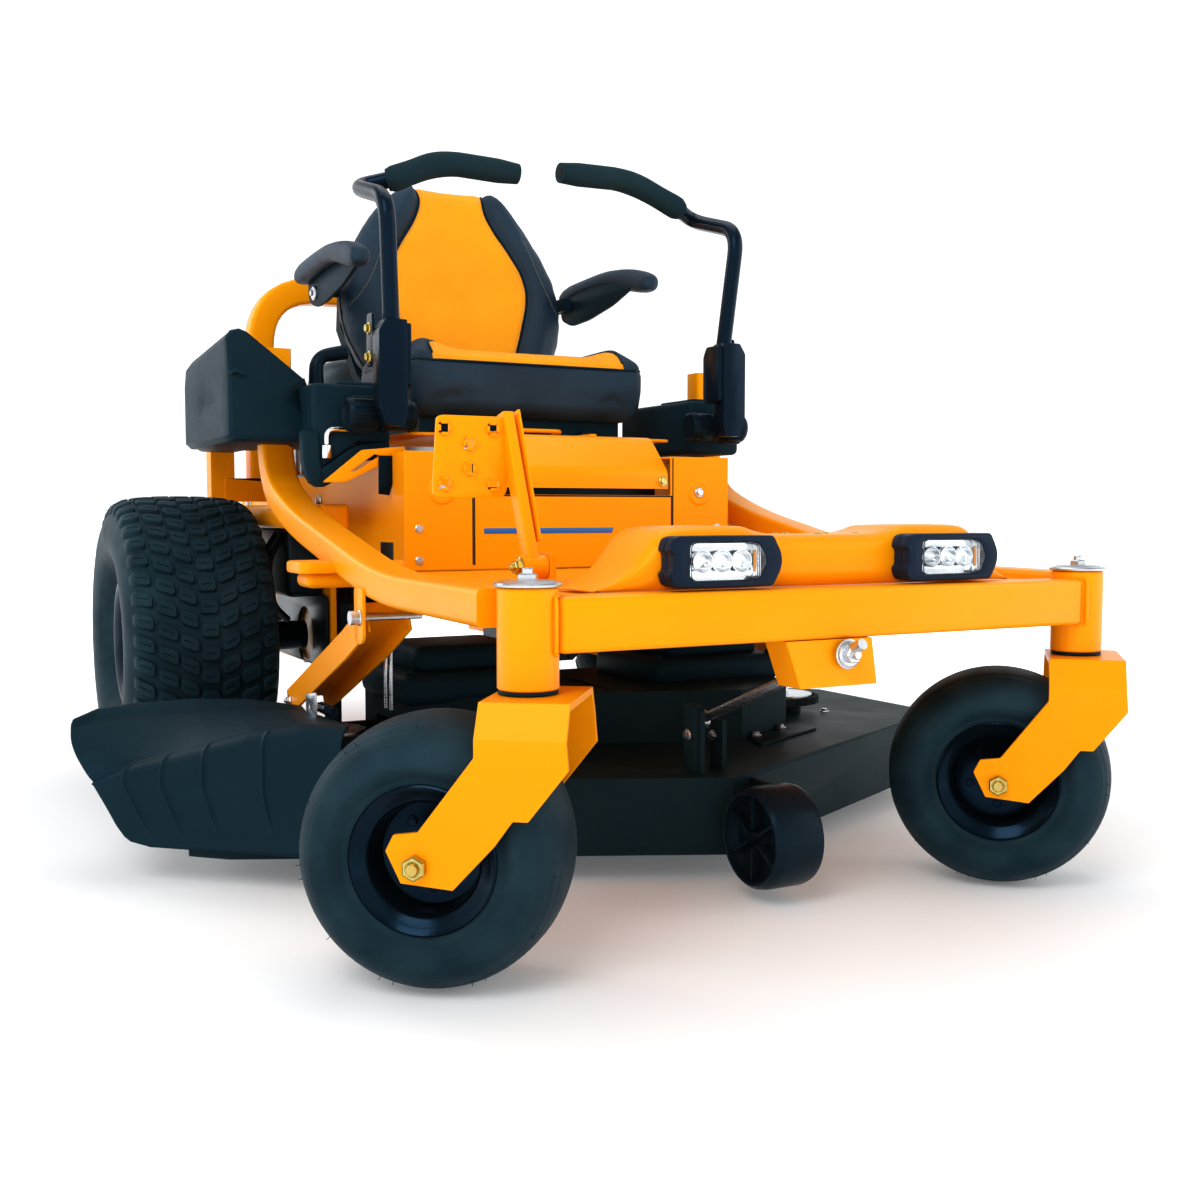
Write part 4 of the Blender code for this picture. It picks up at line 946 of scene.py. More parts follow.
def chute_column(u):
    """One section of the hood, from the skirt's foot over the roll to the rear rim."""
    ridge = interpolate(CHUTE_RIDGE, u * CHUTE_END[-1][1])
    lip = max(0.0, (u - 0.62) / 0.38) ** 2
    roll = CHUTE_ROLL * (1 - 0.85 * lip)
    foot, shoulder = CHUTE_END[0][0], ridge - roll
    rib = max(math.exp(-((u - centre) / 0.0065) ** 2) for centre in CHUTE_RIBS)
    column = []
    for step in range(15):
        z = foot + (shoulder - foot) * step / 14
        spot = CHUTE_START + CHUTE_ALONG * interpolate(CHUTE_END, z) * u
        raised = 0.0030 * rib * max(0.0, min(1.0, (step - 2.5) / 3))
        column.append((*(spot - CHUTE_BEHIND * raised), z))
    base = CHUTE_START + CHUTE_ALONG * interpolate(CHUTE_END, ridge) * u
    for step in range(1, 9):
        turn = QUARTER * step / 8
        out = roll + 0.0030 * rib * math.cos(turn) ** 0.5 if step < 8 else roll
        spot = base + CHUTE_BEHIND * (roll - out * math.cos(turn))
        column.append((*spot, shoulder + out * math.sin(turn)))
    edge = Vector(column[-1])
    rear = Vector([interpolate([(t, point[axis]) for t, point in CHUTE_REAR], u) for axis in range(3)])
    for step in range(1, 25):
        w = step / 24
        spot = edge.lerp(rear, w)
        spot += Vector((-0.0160, 0.0, 0.0100)) * math.sin(math.pi * w) ** 0.7 * lip
        spot.z -= 0.0030 * math.exp(-((w - 0.74) / 0.05) ** 2) * (1 - lip)
        spot.z += 0.0045 * max(0.0, min(1.0, (w - 0.76) / 0.10)) - 0.0110 * max(0.0, (w - 0.88) / 0.12) ** 2
        column.append(tuple(spot))
    return column


def discharge_chute():
    """Moulded hood: rolled front edge, four ribs, flared end and a raised rear rim."""
    bm = bmesh.new()
    rows = [[bm.verts.new(point) for point in chute_column(i / 300)] for i in range(301)]
    for first, second in zip(rows, rows[1:]):
        for i in range(len(first) - 1):
            bm.faces.new((first[i], second[i], second[i + 1], first[i + 1]))
    chute = piece("chute_hood", bm, PLASTIC, "chute", ("discharge_chute",), smooth=60)
    thick = chute.modifiers.new("wall", "SOLIDIFY")
    thick.thickness = 0.0042
    thick.offset = -1.0
    coil = [(-0.4470 + 0.0065 * math.cos(i * 1.05), 0.470 + 0.0011 * i,
             0.2190 + 0.0065 * math.sin(i * 1.05)) for i in range(60)]
    piece("chute_spring", tube(coil, 0.0011, 1), BLACK, "deck")
    lug = slab([rounded([(0.500, 0.205), (0.545, 0.205), (0.545, 0.236), (0.500, 0.243)], 0.004, 3,
                        True), circle(0.004, 12, (0.525, 0.222))], "YZ", -0.4630, -0.4600, 0.0006)
    piece("chute_hinge_plate", lug, ZINC, "deck")


def deck_links():
    """Pressed trailing arms with their pins, and the deck's telescoping lift rods."""
    for name, side in SIDES.items():
        dressed("deck_arm_" + name, YELLOW, 0.0018)
        body = "deck_arm_" + name
        parts = [bolt((0.4245 * side, 0.409, 0.3465), (side, 0, 0), 0.0060, stud=True),
                 bolt((0.4245 * side, 0.770, 0.1955), (side, 0, 0), 0.0060, stud=True)]
        piece("arm_pins_" + name, merged(*parts), ZINC, body)
        pin = [tube([(0.352 * side, 0.398, 0.3480), (0.444 * side, 0.398, 0.3480)], 0.0045),
               bolt((0.4340 * side, 0.398, 0.3480), (side, 0, 0), 0.0072, stud=True),
               moved(lathe([(0, 0), (0.009, 0), (0.009, 0.014), (0, 0.014)], 20),
                     aimed((0.4330 * side, 0.398, 0.3480), (side, 0, 0)))]
        piece("rail_pin_" + name, merged(*pin), ZINC, "chassis")
        sleeve, rod = [], []
        for y in (0.552, 0.574):
            sleeve.append(moved(lathe([(0.0036, 0.0), (0.0054, 0.0), (0.0054, 0.150), (0.0036, 0.150)], 20,
                                      ring=True), Matrix.Translation((0.340 * side, y, 0.288))))
            rod.append(moved(lathe([(0, 0), (0.0026, 0), (0.0028, 0.001), (0.0028, 0.091), (0, 0.091)], 16),
                             Matrix.Translation((0.340 * side, y, 0.204))))
        piece("lift_sleeves_" + name, merged(*sleeve), ENGINE_BLACK, "chassis")
        piece("lift_rods_" + name, merged(*rod), ZINC, "deck")


def deck_pedal():
    """Punched pedal plate with raised petals on a flanged arm with a pivot bolt."""
    outer = rounded([(-0.398, 0.500), (-0.392, 0.589), (-0.386, 0.592), (-0.310, 0.592), (-0.304, 0.586),
                     (-0.304, 0.505), (-0.310, 0.497), (-0.392, 0.497)], 0.004, 3, True)
    holes = []
    petals = []
    for x, z in ((-0.383, 0.577), (-0.322, 0.577), (-0.352, 0.560), (-0.352, 0.531),
                 (-0.383, 0.513), (-0.322, 0.513)):
        holes.append([(x + a * 0.0062, z + b * 0.0062) for a, b in
                      ((-1, -1), (1, -1), (1, 1), (-1, 1))])
        for a, b in ((0, 1), (1, 0), (0, -1), (-1, 0)):
            px, pz = x + a * 0.0066, z + b * 0.0066
            wide, tall = 0.0018 + 0.0018 * abs(b), 0.0018 + 0.0018 * abs(a)
            petals.append(block((px - wide, 0.2320, pz - tall), (px + wide, 0.2365, pz + tall), 0.0008))
    plate = slab([outer, *holes], "XZ", 0.2355, 0.2398, 0.0007)
    arm_path = [(-0.2895, 0.200, 0.416), (-0.2915, 0.206, 0.445), (-0.303, 0.243, 0.596)]
    arm = sweep(arm_path, rectangle(0.014, 0.022, 0.003), (1, 0, 0))
    lip = sweep([(-0.2800, 0.206, 0.445), (-0.2900, 0.244, 0.598)], rectangle(0.003, 0.026, 0.001, 2),
                (1, 0, 0))
    gusset = block((-0.330, 0.238, 0.520), (-0.300, 0.245, 0.575), 0.002)
    hub = moved(lathe([(0.0065, 0), (0.014, 0), (0.014, 0.031), (0.0065, 0.031)], 32, ring=True),
                aimed((-0.3040, 0.200, 0.416), (1, 0, 0)))
    piece("pedal_plate", merged(plate, *petals, arm, lip, gusset, hub), YELLOW, "pedal",
          ("deck_pedal",))
    pivot = merged(bolt((-0.3045, 0.200, 0.416), (-1, 0, 0), 0.0085, stud=True),
                   bolt((-0.3045, 0.200, 0.416), (1, 0, 0), 0.0055))
    piece("pedal_pivot_bolt", pivot, GOLD, "chassis")


# ---------------------------------------------------------------- tank and controls
def tank_ring(y):
    """The tank's section at y: outer side, ridge, sloping top and the wall by the console."""
    back = max(0.0, (y - 0.815) / 0.300)
    top = 0.757 - 0.020 * back
    pinch = max(0.0, min(1.0, (y - 0.860) / 0.060)) * max(0.0, min(1.0, (1.00 - y) / 0.020))
    return [(-0.494, 0.586), (-0.5025, 0.594), (-0.5025, 0.632), (-0.5025 + 0.010 * pinch, 0.652),
            (-0.5025 + 0.006 * pinch, 0.668), (-0.5025, 0.690), (-0.5000, top - 0.018),
            (-0.4900, top - 0.004), (-0.4760, top), (-0.4640, top - 0.004),
            (-0.3800, 0.6865 - 0.004 * back), (-0.3740, 0.678), (-0.3810, 0.630), (-0.3870, 0.594),
            (-0.392, 0.586)]


def tank():
    """Moulded fuel tank and console with drafted facets, cap and belt line."""
    bm = bmesh.new()
    rows = []
    for y, lean in ((0.800, 0.90), (0.803, 0.97), (0.811, 1.0), (0.845, 1.0), (0.880, 1.0), (0.935, 1.0),
                    (0.990, 1.0), (1.010, 1.0), (1.115, 1.0), (1.126, 0.985), (1.130, 0.94)):
        ring = []
        for x, z in tank_ring(y):
            back = 0.0
            if y < 0.85:
                crease = 0.6870 - (x + 0.485) * 0.63
                back = max(0.0, z - crease) * 0.42 * (0.85 - y) / 0.05
            ring.append(bm.verts.new((-0.430 + (x + 0.430) * lean, y + back, 0.665 + (z - 0.665) * lean)))
        rows.append(ring)
    for low, high in zip(rows, rows[1:]):
        for i in range(len(low)):
            j = (i + 1) % len(low)
            bm.faces.new((low[i], low[j], high[j], high[i]))
    bm.faces.new(rows[-1])
    front = rows[0]
    shelf = [(-0.4750, 0.6800), (-0.4300, 0.6540), (-0.3900, 0.6290)]
    hinge_line = [bm.verts.new((x, 0.7985, z)) for x, z in shelf]
    bm.faces.new([front[i] for i in (5, 6, 7, 8, 9, 10, 11)] + hinge_line[::-1])
    bm.faces.new([front[i] for i in (11, 12, 13, 14, 0, 1, 2, 3, 4, 5)] + hinge_line)
    scoop = sweep([(-0.4985, 0.800, 0.6850), (-0.4900, 0.7975, 0.6900), (-0.4780, 0.7970, 0.6835)],
                  rectangle(0.010, 0.006, 0.002), (0, 1, 0))
    rear = block((-0.445, 1.10, 0.592), (-0.357, 1.360, 0.700), 0.018, 4)
    whole = piece("tank_moulding", merged(bm, scoop, rear), PLASTIC, "chassis",
                  ("fuel_tank",), smooth=45)
    edges = whole.modifiers.new("edges", "BEVEL")
    edges.width = 0.007
    edges.segments = 4
    edges.limit_method = "ANGLE"
    edges.angle_limit = math.radians(26)
    console = merged(block((-0.3920, 0.742, 0.5830), (-0.270, 0.990, 0.6720), 0.008, 3),
                     slab([rounded([(-0.3860, 0.6500), (-0.3880, 0.5500), (-0.3820, 0.5440),
                                    (-0.3200, 0.5880), (-0.2750, 0.5900), (-0.2750, 0.6500)], 0.010, 4,
                                   True)], "XZ", 0.7415, 0.790, 0.003))
    ledge = block((-0.352, 0.748, 0.668), (-0.276, 0.860, 0.6765), 0.004, 3)
    skirt = sweep(rounded([(-0.3960, 0.748, 0.6000), (-0.3940, 0.748, 0.5480), (-0.3840, 0.748, 0.5260),
                           (-0.3200, 0.748, 0.5700), (-0.2740, 0.748, 0.5740)], 0.012, 4),
                  rectangle(0.022, 0.026, 0.004), (0, 1, 0))
    piece("console_right_moulding", merged(console, ledge, skirt), PLASTIC, "chassis",
          (), smooth=45)
    left = merged(block((0.270, 0.742, 0.580), (0.372, 0.990, 0.672), 0.010, 4),
                  block((0.280, 0.750, 0.668), (0.362, 0.860, 0.6755), 0.004, 3))
    piece("console_moulding", left, PLASTIC, "chassis", ("console_left",), smooth=45)
    rim = [(0.0, 0.0300), (0.0220, 0.0300), (0.0300, 0.0290), (0.0345, 0.0250), (0.0350, 0.0200),
           (0.0355, 0.0), (0.0, 0.0)]
    grips = [moved(block((0.0335, -0.0020, 0.001), (0.0372, 0.0020, 0.0235), 0.0008),
                   Matrix.Rotation(2 * math.pi * i / 18, 4, "Z")) for i in range(18)]
    piece("fuel_cap_ribbed", merged(lathe(rim, 64), *grips), SMOOTH_PLASTIC, "cap",
          ("fuel_cap",), Matrix.Translation((-0.400, 1.250, 0.7005)))
    collar = lathe([(0.034, -0.010), (0.042, -0.010), (0.042, -0.0025), (0.040, -0.0004),
                    (0.034, -0.0004)], 48, ring=True)
    piece("filler_neck", collar, PLASTIC, "chassis", (),
          Matrix.Translation((-0.400, 1.250, 0.7005)))


def knob_profile(radius, depth):
    """A turned knob with a dished face."""
    return [(0, 0), (radius * 0.8, 0), (radius * 0.92, depth * 0.05), (radius, depth * 0.15),
            (radius, depth * 0.80), (radius * 0.93, depth * 0.95), (radius * 0.84, depth),
            (radius * 0.70, depth * 0.97), (radius * 0.60, depth * 0.90), (0, depth * 0.90)]


def levers():
    """Damper barrels with scalloped knobs, lap-bar tubes in their boxes, and grips."""
    for name, side in SIDES.items():
        axis_y, axis_z = LEVER_AXIS
        out = (side, 0, 0)
        barrel = moved(lathe([(0, 0), (0.0205, 0), (0.0230, 0.0022), (0.0230, 0.0545), (0.0205, 0.0570),
                              (0, 0.0570)], 56), aimed((0.245 * side, axis_y, axis_z), out))
        rings = [moved(lathe([(0.0228, x), (0.0242, x + 0.001), (0.0242, x + 0.004), (0.0228, x + 0.005)],
                             48, ring=True), aimed((0.245 * side, axis_y, axis_z), out))
                 for x in (0.006, 0.046)]
        foot = block((min(0.262 * side, 0.282 * side), 0.690, 0.602),
                     (max(0.262 * side, 0.282 * side), 0.724, 0.645), 0.003)
        piece("damper_barrel_" + name, merged(barrel, *rings, foot), SMOOTH_PLASTIC,
              "lever_hub_" + name, ("lever_hub_" + name,))
        knob = [moved(lathe(knob_profile(0.0262, 0.0470), 60), aimed((0.3045 * side, axis_y, axis_z), out))]
        for i in range(14):
            flute = moved(block((0.0225, -0.0028, 0.006), (0.0279, 0.0028, 0.040), 0.0016),
                          Matrix.Rotation(2 * math.pi * i / 14, 4, "Z"))
            knob.append(moved(flute, aimed((0.3045 * side, axis_y, axis_z), out)))
        piece("damper_knob_" + name, merged(*knob), SMOOTH_PLASTIC, "lever_hub_" + name)

        low, high = sorted((0.268 * side, 0.300 * side))
        profile = rounded([(0.652, 0.7560), (0.652, 0.6640), (0.660, 0.6620), (0.692, 0.6620),
                           (0.700, 0.6700), (0.700, 0.7400), (0.690, 0.7560)], 0.004, 3, True)
        box_part = slab([profile], "YZ", low, high, 0.0014)
        face = rounded([(0.2760 * side, 0.7600), (0.3080 * side, 0.7600), (0.3190 * side, 0.7430),
                        (0.3190 * side, 0.6350), (0.3080 * side, 0.6060), (0.2800 * side, 0.6060),
                        (0.2760 * side, 0.6300)], 0.002, 2, True)
        if side > 0:
            face = face[::-1]
        box_face = slab([face], "XZ", 0.6480, 0.6790, 0.0008)
        drop = 0.0 if side > 0 else LEVER_DROP
        path = rounded([(0.288 * side, 0.680, 0.700), (0.304 * side, 0.652, 0.945 - drop),
                        (0.306 * side, 0.792, 0.987 - drop), (0.262 * side, 0.770, 0.998 - drop)],
                       0.04, 8)
        bar_part = tube(path, 0.0125, 6)
        piece("lap_bar_" + name, merged(box_part, box_face, bar_part), BLACK, "lever_" + name,
              ("lever_" + name,))
        strap = slab([rounded([(0.678, 0.694), (0.710, 0.694), (0.704, 0.772), (0.680, 0.772)], 0.008, 4,
                              True)], "YZ", *sorted((0.3150 * side, 0.3190 * side)), 0.0008)
        piece("lap_bar_strap_" + name, strap, BLACK, "lever_" + name)
        heads = [bolt((0.3190 * side, 0.694, z), out, 0.0064) for z in (0.750, 0.708)]
        piece("lap_bar_bolts_" + name, merged(*heads), GOLD, "lever_" + name)

        tilt = (Vector(path[-1]) - Vector(path[-2])).normalized()
        start = Vector(path[-1]) + tilt * 0.0005
        spine = smoothed(rounded([start, start + tilt * 0.012, (0.170 * side, 0.782, 1.040 - drop),
                                  (0.038 * side, 0.779, 1.036 - drop)], 0.04, 6), 3)
        count = len(spine) - 1
        radii = []
        for i in range(count + 1):
            t = i / count
            swell = 1.0 - 0.10 * math.exp(-(t / 0.05) ** 2) - 0.16 * math.exp(-((1 - t) / 0.012) ** 2)
            radii.append(swell - 0.02 * math.cos(14 * t))
        grip = piece("foam_grip_" + name, tube(spine, 0.0192, 6, radii), FOAM, "lever_" + name,
                     ("lever_grip_" + name,), smooth=60)
        tip = Vector(spine[-1])
        hole = moved(lathe([(0, 0), (0.008, 0), (0.009, -0.0002), (0.009, -0.006), (0, -0.006)], 24),
                     aimed(tip + Vector((-0.0008 * side, 0, 0)), (-side, 0, 0)))
        piece("grip_end_" + name, hole, BELT, "lever_" + name)


def small_controls():
    """Pull knob, height hook with its pin, and a socket wrench."""
    knob = [(0.0, 0.0), (0.0065, 0.0), (0.0065, 0.006), (0.0105, 0.0075), (0.0145, 0.0110),
            (0.0160, 0.0160), (0.0150, 0.0205), (0.0110, 0.0238), (0.0, 0.0245)]
    piece("clutch_knob_turned", lathe(knob, 48), SMOOTH_PLASTIC, "clutch",
          ("clutch_knob",), Matrix.Translation((0.345, 0.775, 0.6726)))
    hook = smoothed(rounded([(-0.345, 0.880, 0.6840), (-0.345, 0.880, 0.726), (-0.296, 0.880, 0.736)],
                            0.022, 4), 2)
    radii = [1.0 - 0.12 * math.sin(math.pi * i / (len(hook) - 1)) for i in range(len(hook))]
    piece("height_hook", tube(hook, 0.0120, 5, radii), SMOOTH_PLASTIC, "height",
          ("height_pin",), smooth=60)
    shaft = moved(lathe([(0, 0), (0.0035, 0), (0.0035, 0.016), (0, 0.016)], 14),
                  aimed((-0.345, 0.880, 0.6715), (0, 0, 1)))
    piece("height_hook_pin", shaft, GOLD, "height")
    wrench = rounded([(-0.300, 0.736, 0.6035), (-0.373, 0.736, 0.6035), (-0.373, 0.736, 0.574)], 0.014, 6)
    socket = moved(lathe([(0, 0), (0.0078, 0), (0.0082, 0.001), (0.0082, 0.019), (0.0060, 0.021),
                          (0, 0.021)], 28), aimed((-0.373, 0.736, 0.560), (0, 0, 1)))
    piece("height_wrench", merged(tube(wrench, 0.0042, 4), socket), CHROME, "chassis")


# ---------------------------------------------------------------- engine
def engine():
    """Shroud with its screen and louvres, finned cylinders, silencer and guard."""
    dressed("engine_block", CAST, 0.002)
    fins = []
    for side in SIDES.values():
        turn = Matrix.Translation((0, 1.52, 0)) @ Matrix.Rotation(math.radians(-48) * side, 4, "Z")
        for i in range(8):
            y = 0.100 + 0.0125 * i
            fins.append(moved(block((-0.066, y, 0.558), (0.066, y + 0.003, 0.656), 0.0010), turn))
        fins.append(moved(block((-0.050, 0.198, 0.575), (0.050, 0.212, 0.645), 0.005, 3), turn))
    piece("cylinder_fins", merged(*fins), CAST, "chassis")
    dome = smoothed([(0.0, 0.8000), (0.060, 0.7990), (0.110, 0.7965), (0.145, 0.7865), (0.165, 0.7650),
                     (0.1730, 0.7350), (0.1748, 0.6900), (0.1750, 0.6560)], 4)
    inner = [(0.168, 0.6560), (0.165, 0.745), (0.145, 0.776), (0.11, 0.790), (0.0, 0.791)]
    ribs = [lathe([(r, 0.7975), (r, 0.8018), (r + 0.0035, 0.8018), (r + 0.0035, 0.7975)], 64, ring=True)
            for r in (0.030, 0.046, 0.062, 0.078)]
    bars = [moved(block((0.020, -0.0018, 0.7975), (0.086, 0.0018, 0.8010), 0.0006),
                  Matrix.Rotation(2 * math.pi * i / 24, 4, "Z")) for i in range(24)]
    louvres = []
    for i in range(36):
        slat = block((0.1735, -0.030, 0.672 + 0.014 * (i % 4)), (0.1775, 0.030, 0.678 + 0.014 * (i % 4)),
                     0.0015)
        louvres.append(moved(slat, Matrix.Rotation(2 * math.pi * (i // 4) / 9, 4, "Z")))
    piece("shroud_shell", merged(lathe(dome + inner, 96), *ribs, *bars, *louvres), ENGINE_BLACK, "chassis",
          ("engine_shroud",), Matrix.Translation((0, 1.52, 0)), 40)
    can = lathe([(0, -0.170), (0.046, -0.170), (0.053, -0.166), (0.055, -0.158), (0.0562, -0.156),
                 (0.055, -0.150), (0.055, 0.150), (0.0562, 0.156), (0.055, 0.158), (0.053, 0.166),
                 (0.046, 0.170), (0, 0.170)], 64)
    outlet = moved(lathe([(0.011, 0), (0.014, 0), (0.014, 0.045), (0.011, 0.045)], 28, ring=True),
                   aimed((0.045, 0, 0.10), (1, 0, -0.4)))
    piece("silencer_can", merged(can, outlet), ENGINE_BLACK, "chassis", ("muffler",),
          Matrix.Translation((0, 1.795, 0.47)) @ Matrix.Rotation(QUARTER, 4, "Y"))
    pipes = [tube(smoothed([(0.10 * side, 1.63, 0.60), (0.13 * side, 1.70, 0.58), (0.12 * side, 1.77, 0.54),
                            (0.10 * side, 1.79, 0.52)], 4), 0.014, 4) for side in SIDES.values()]
    piece("exhaust_pipes", merged(*pipes), CAST, "chassis")
    rows = []
    guard_path = rounded([(1.735, 0.545), (1.862, 0.545), (1.862, 0.40)], 0.03, 6)
    rows.append(sweep([(0, y, z) for y, z in guard_path], rectangle(0.400, 0.004, 0.001, 2), (1, 0, 0)))
    for i in range(9):
        x = -0.176 + 0.044 * i
        rows.append(block((x - 0.008, 1.8625, 0.415), (x + 0.008, 1.8655, 0.520), 0.001))
    piece("silencer_guard", merged(*rows), BLACK, "chassis", ("muffler_guard",))
    for name, side in SIDES.items():
        dressed("transaxle_" + name, ENGINE_BLACK, 0.003)
        webs = [block((min(x * side, (x + 0.004) * side), 1.118, 0.188),
                      (max(x * side, (x + 0.004) * side), 1.302, 0.3385), 0.0012)
                for x in (0.135, 0.165, 0.195, 0.225)]
        fan = [moved(block((0.006, -0.011, 0), (0.050, 0.011, 0.003), 0.001),
                     Matrix.Translation((0.19 * side, 1.15, 0.402))
                     @ Matrix.Rotation(i * math.pi / 3, 4, "Z") @ Matrix.Rotation(0.45, 4, "X"))
               for i in range(6)]
        piece("transaxle_ribs_" + name, merged(*webs), ENGINE_BLACK, "chassis")
        near, far = sorted((0.2755 * side, 0.3400 * side))
        pump = block((near, 1.095, 0.330), (far, 1.365, 0.450), 0.010, 3)
        head = block((near + 0.008, 1.125, 0.445), (far - 0.008, 1.300, 0.478), 0.008, 3)
        blades = [moved(block((0.010, -0.0012, 0.0), (0.034, 0.0012, 0.010), 0.0005),
                        Matrix.Translation((0.308 * side, 1.205, 0.479))
                        @ Matrix.Rotation(2 * math.pi * i / 12, 4, "Z")) for i in range(12)]
        hub = moved(lathe([(0, 0), (0.014, 0), (0.014, 0.012), (0.010, 0.014), (0, 0.014)], 24),
                    Matrix.Translation((0.308 * side, 1.205, 0.477)))
        hoses = [tube(rounded([(0.336 * side, 1.13 + gap, 0.440), (0.372 * side, 1.10 + gap, 0.400),
                               (0.372 * side, 1.08 + gap, 0.320), (0.334 * side, 1.12 + gap, 0.290)],
                              0.03, 5), 0.0065) for gap in (0.0, 0.045)]
        guard = slab([rounded([(1.064, 0.206), (1.400, 0.206), (1.400, 0.334), (1.064, 0.334)], 0.012, 3,
                              True), circle(0.052, 32, (REAR_Y, REAR_R))],
                     "YZ", *sorted((0.2760 * side, 0.2800 * side)), 0.0008)
        piece("drive_pump_" + name, merged(pump, head, guard, *hoses), ENGINE_BLACK, "chassis")
        piece("drive_fan_" + name, merged(hub, *blades), SMOOTH_PLASTIC, "chassis")
        piece("cooling_fan_" + name, merged(*fan), SMOOTH_PLASTIC, "chassis")
    dressed("engine_pulley", ZINC, 0.001)


# ---------------------------------------------------------------- seat
VOXEL = 0.0055
CUSHION_FRONT = 0.175     # half width of the yellow panel at the cushion's front edge
CUSHION_HALF = 0.135      # and behind it, between the side bolsters
TAPER_Y, TAPER_LENGTH = 0.830, 0.040
SEAM_Z = 0.7235           # height of the seam round the cushion
PANEL_TABLE = [(0.0, 0.088), (0.05, 0.098), (0.12, 0.121), (0.18, 0.137), (0.225, 0.134),
               (0.27, 0.112), (0.32, 0.080), (0.36, 0.065), (0.402, 0.070)]
BACK_TABLE = [(0.000, 0.142), (0.030, 0.168), (0.060, 0.189), (0.105, 0.208), (0.150, 0.2165),
              (0.190, 0.2155), (0.230, 0.2065), (0.280, 0.183), (0.330, 0.1535), (0.365, 0.128),
              (0.385, 0.108), (0.397, 0.082), (0.402, 0.057)]


def as_mesh(obj):
    """Apply an object's modifiers."""
    graph = bpy.context.evaluated_depsgraph_get()
    graph.update()
    mesh = bpy.data.meshes.new_from_object(obj.evaluated_get(graph))
    old = obj.data
    obj.modifiers.clear()
    obj.data = mesh
    mesh.name = obj.name
    bpy.data.meshes.remove(old)


def puffed(obj, pressure, limit, shape=None):
    """Remesh a pad, let cloth pressure fill it, and keep each point within its limit."""
    remesh = obj.modifiers.new("remesh", "REMESH")
    remesh.mode = "VOXEL"
    remesh.voxel_size = VOXEL
    as_mesh(obj)
    if shape:
        for vert in obj.data.vertices:
            vert.co = shape(vert.co.copy())
    smooth = obj.modifiers.new("smooth", "SMOOTH")
    smooth.iterations = 2
    as_mesh(obj)
    before = [vert.co.copy() for vert in obj.data.vertices]
    cloth = obj.modifiers.new("cloth", "CLOTH")
    cloth.settings.use_pressure = True
    cloth.settings.uniform_pressure_force = pressure
    cloth.settings.effector_weights.gravity = 0.0
    cloth.settings.quality = 4
    cloth.point_cache.frame_start = 1
    cloth.point_cache.frame_end = 20
    for step in range(1, 21):
        bpy.context.scene.frame_set(step)
    as_mesh(obj)
    bpy.context.scene.frame_set(1)
    for vert, start in zip(obj.data.vertices, before):
        drift = vert.co - start
        if drift.length > limit:
            vert.co = start + drift * (limit / drift.length)
    relax = obj.modifiers.new("relax", "SMOOTH")
    relax.iterations = 2
    relax.factor = 0.4
    as_mesh(obj)
    obj.data.shade_smooth()


def groove(obj, depth, width, distance):
    """Pull a pad in along a seam; distance tells how far a point is from it."""
    for vert in obj.data.vertices:
        away = distance(vert.co)
        if away < width * 3:
            vert.co = vert.co - vert.normal * depth * math.exp(-(away / width) ** 2)


def subdivided(obj):
    mod = obj.modifiers.new("finer", "SUBSURF")
    mod.levels = mod.render_levels = 1
    as_mesh(obj)


def on_surface(obj, points, direction, lift):
    """Drop local points onto a pad along a direction, and raise them by lift."""
    tree = BVHTree.FromPolygons([v.co for v in obj.data.vertices],
                                [p.vertices[:] for p in obj.data.polygons])
    direction = Vector(direction)
    found = []
    for point in points:
        hit, normal, _, _ = tree.ray_cast(Vector(point) - direction * 0.2, direction)
        if hit is not None:
            found.append(hit + normal * lift)
    return found


def stitches(path, spacing=0.0052, length=0.0032, radius=0.00055):
    """Short thread ends along a path of points."""
    parts = []
    carried = 0.0
    for a, b in zip(path, path[1:]):
        span = (b - a).length
        while carried < span and span > 1e-6:
            at = a.lerp(b, carried / span)
            along = (b - a).normalized() * length / 2
            parts.append(tube([at - along, at, at + along], radius, 1, [0.7, 1.0, 0.7]))
            carried += spacing
        carried -= span
    return merged(*parts)


def back_mask(look):
    """The yellow middle of the back rest: narrow below the top, widest half way up."""
    axes = look.node("ShaderNodeSeparateXYZ")
    look.link(look.place, axes.inputs[0])
    across = look.math("ABSOLUTE", axes.outputs["X"])
    rise = look.math("DIVIDE", axes.outputs["Z"], 0.42)
    stops = []
    for i in range(24):
        height = 0.42 * i / 23
        width = interpolate(smoothed(PANEL_TABLE, 4), height)
        stops.append((i / 23, (width * 4,) * 3))
    edge = look.math("DIVIDE", look.ramp(rise, stops), 4.0)
    inside = look.math("GREATER_THAN", look.math("SUBTRACT", edge, across), 0.0)
    return look.math("MULTIPLY", inside, look.math("LESS_THAN", axes.outputs["Y"], 0.052))


def cushion_half(y):
    """Half width of the cushion's yellow panel at y: wide in front, narrower behind."""
    t = max(0.0, min(1.0, (y - TAPER_Y) / TAPER_LENGTH))
    return CUSHION_FRONT + (CUSHION_HALF - CUSHION_FRONT) * t * t * (3 - 2 * t)


def cushion_mask(look):
    """The yellow middle of the seat cushion's top."""
    axes = look.node("ShaderNodeSeparateXYZ")
    look.link(look.place, axes.inputs[0])
    step = look.node("ShaderNodeMapRange", interpolation_type="SMOOTHSTEP")
    for socket, value in (("From Max", TAPER_LENGTH), ("To Min", CUSHION_FRONT), ("To Max", CUSHION_HALF)):
        step.inputs[socket].default_value = value
    look.link(look.math("SUBTRACT", axes.outputs["Y"], TAPER_Y), step.inputs["Value"])
    across = look.math("ABSOLUTE", axes.outputs["X"])
    inside = look.math("LESS_THAN", look.math("SUBTRACT", across, step.outputs[0]), 0.0)
    return look.math("MULTIPLY", inside, look.math("GREATER_THAN", axes.outputs["Z"], SEAM_Z))


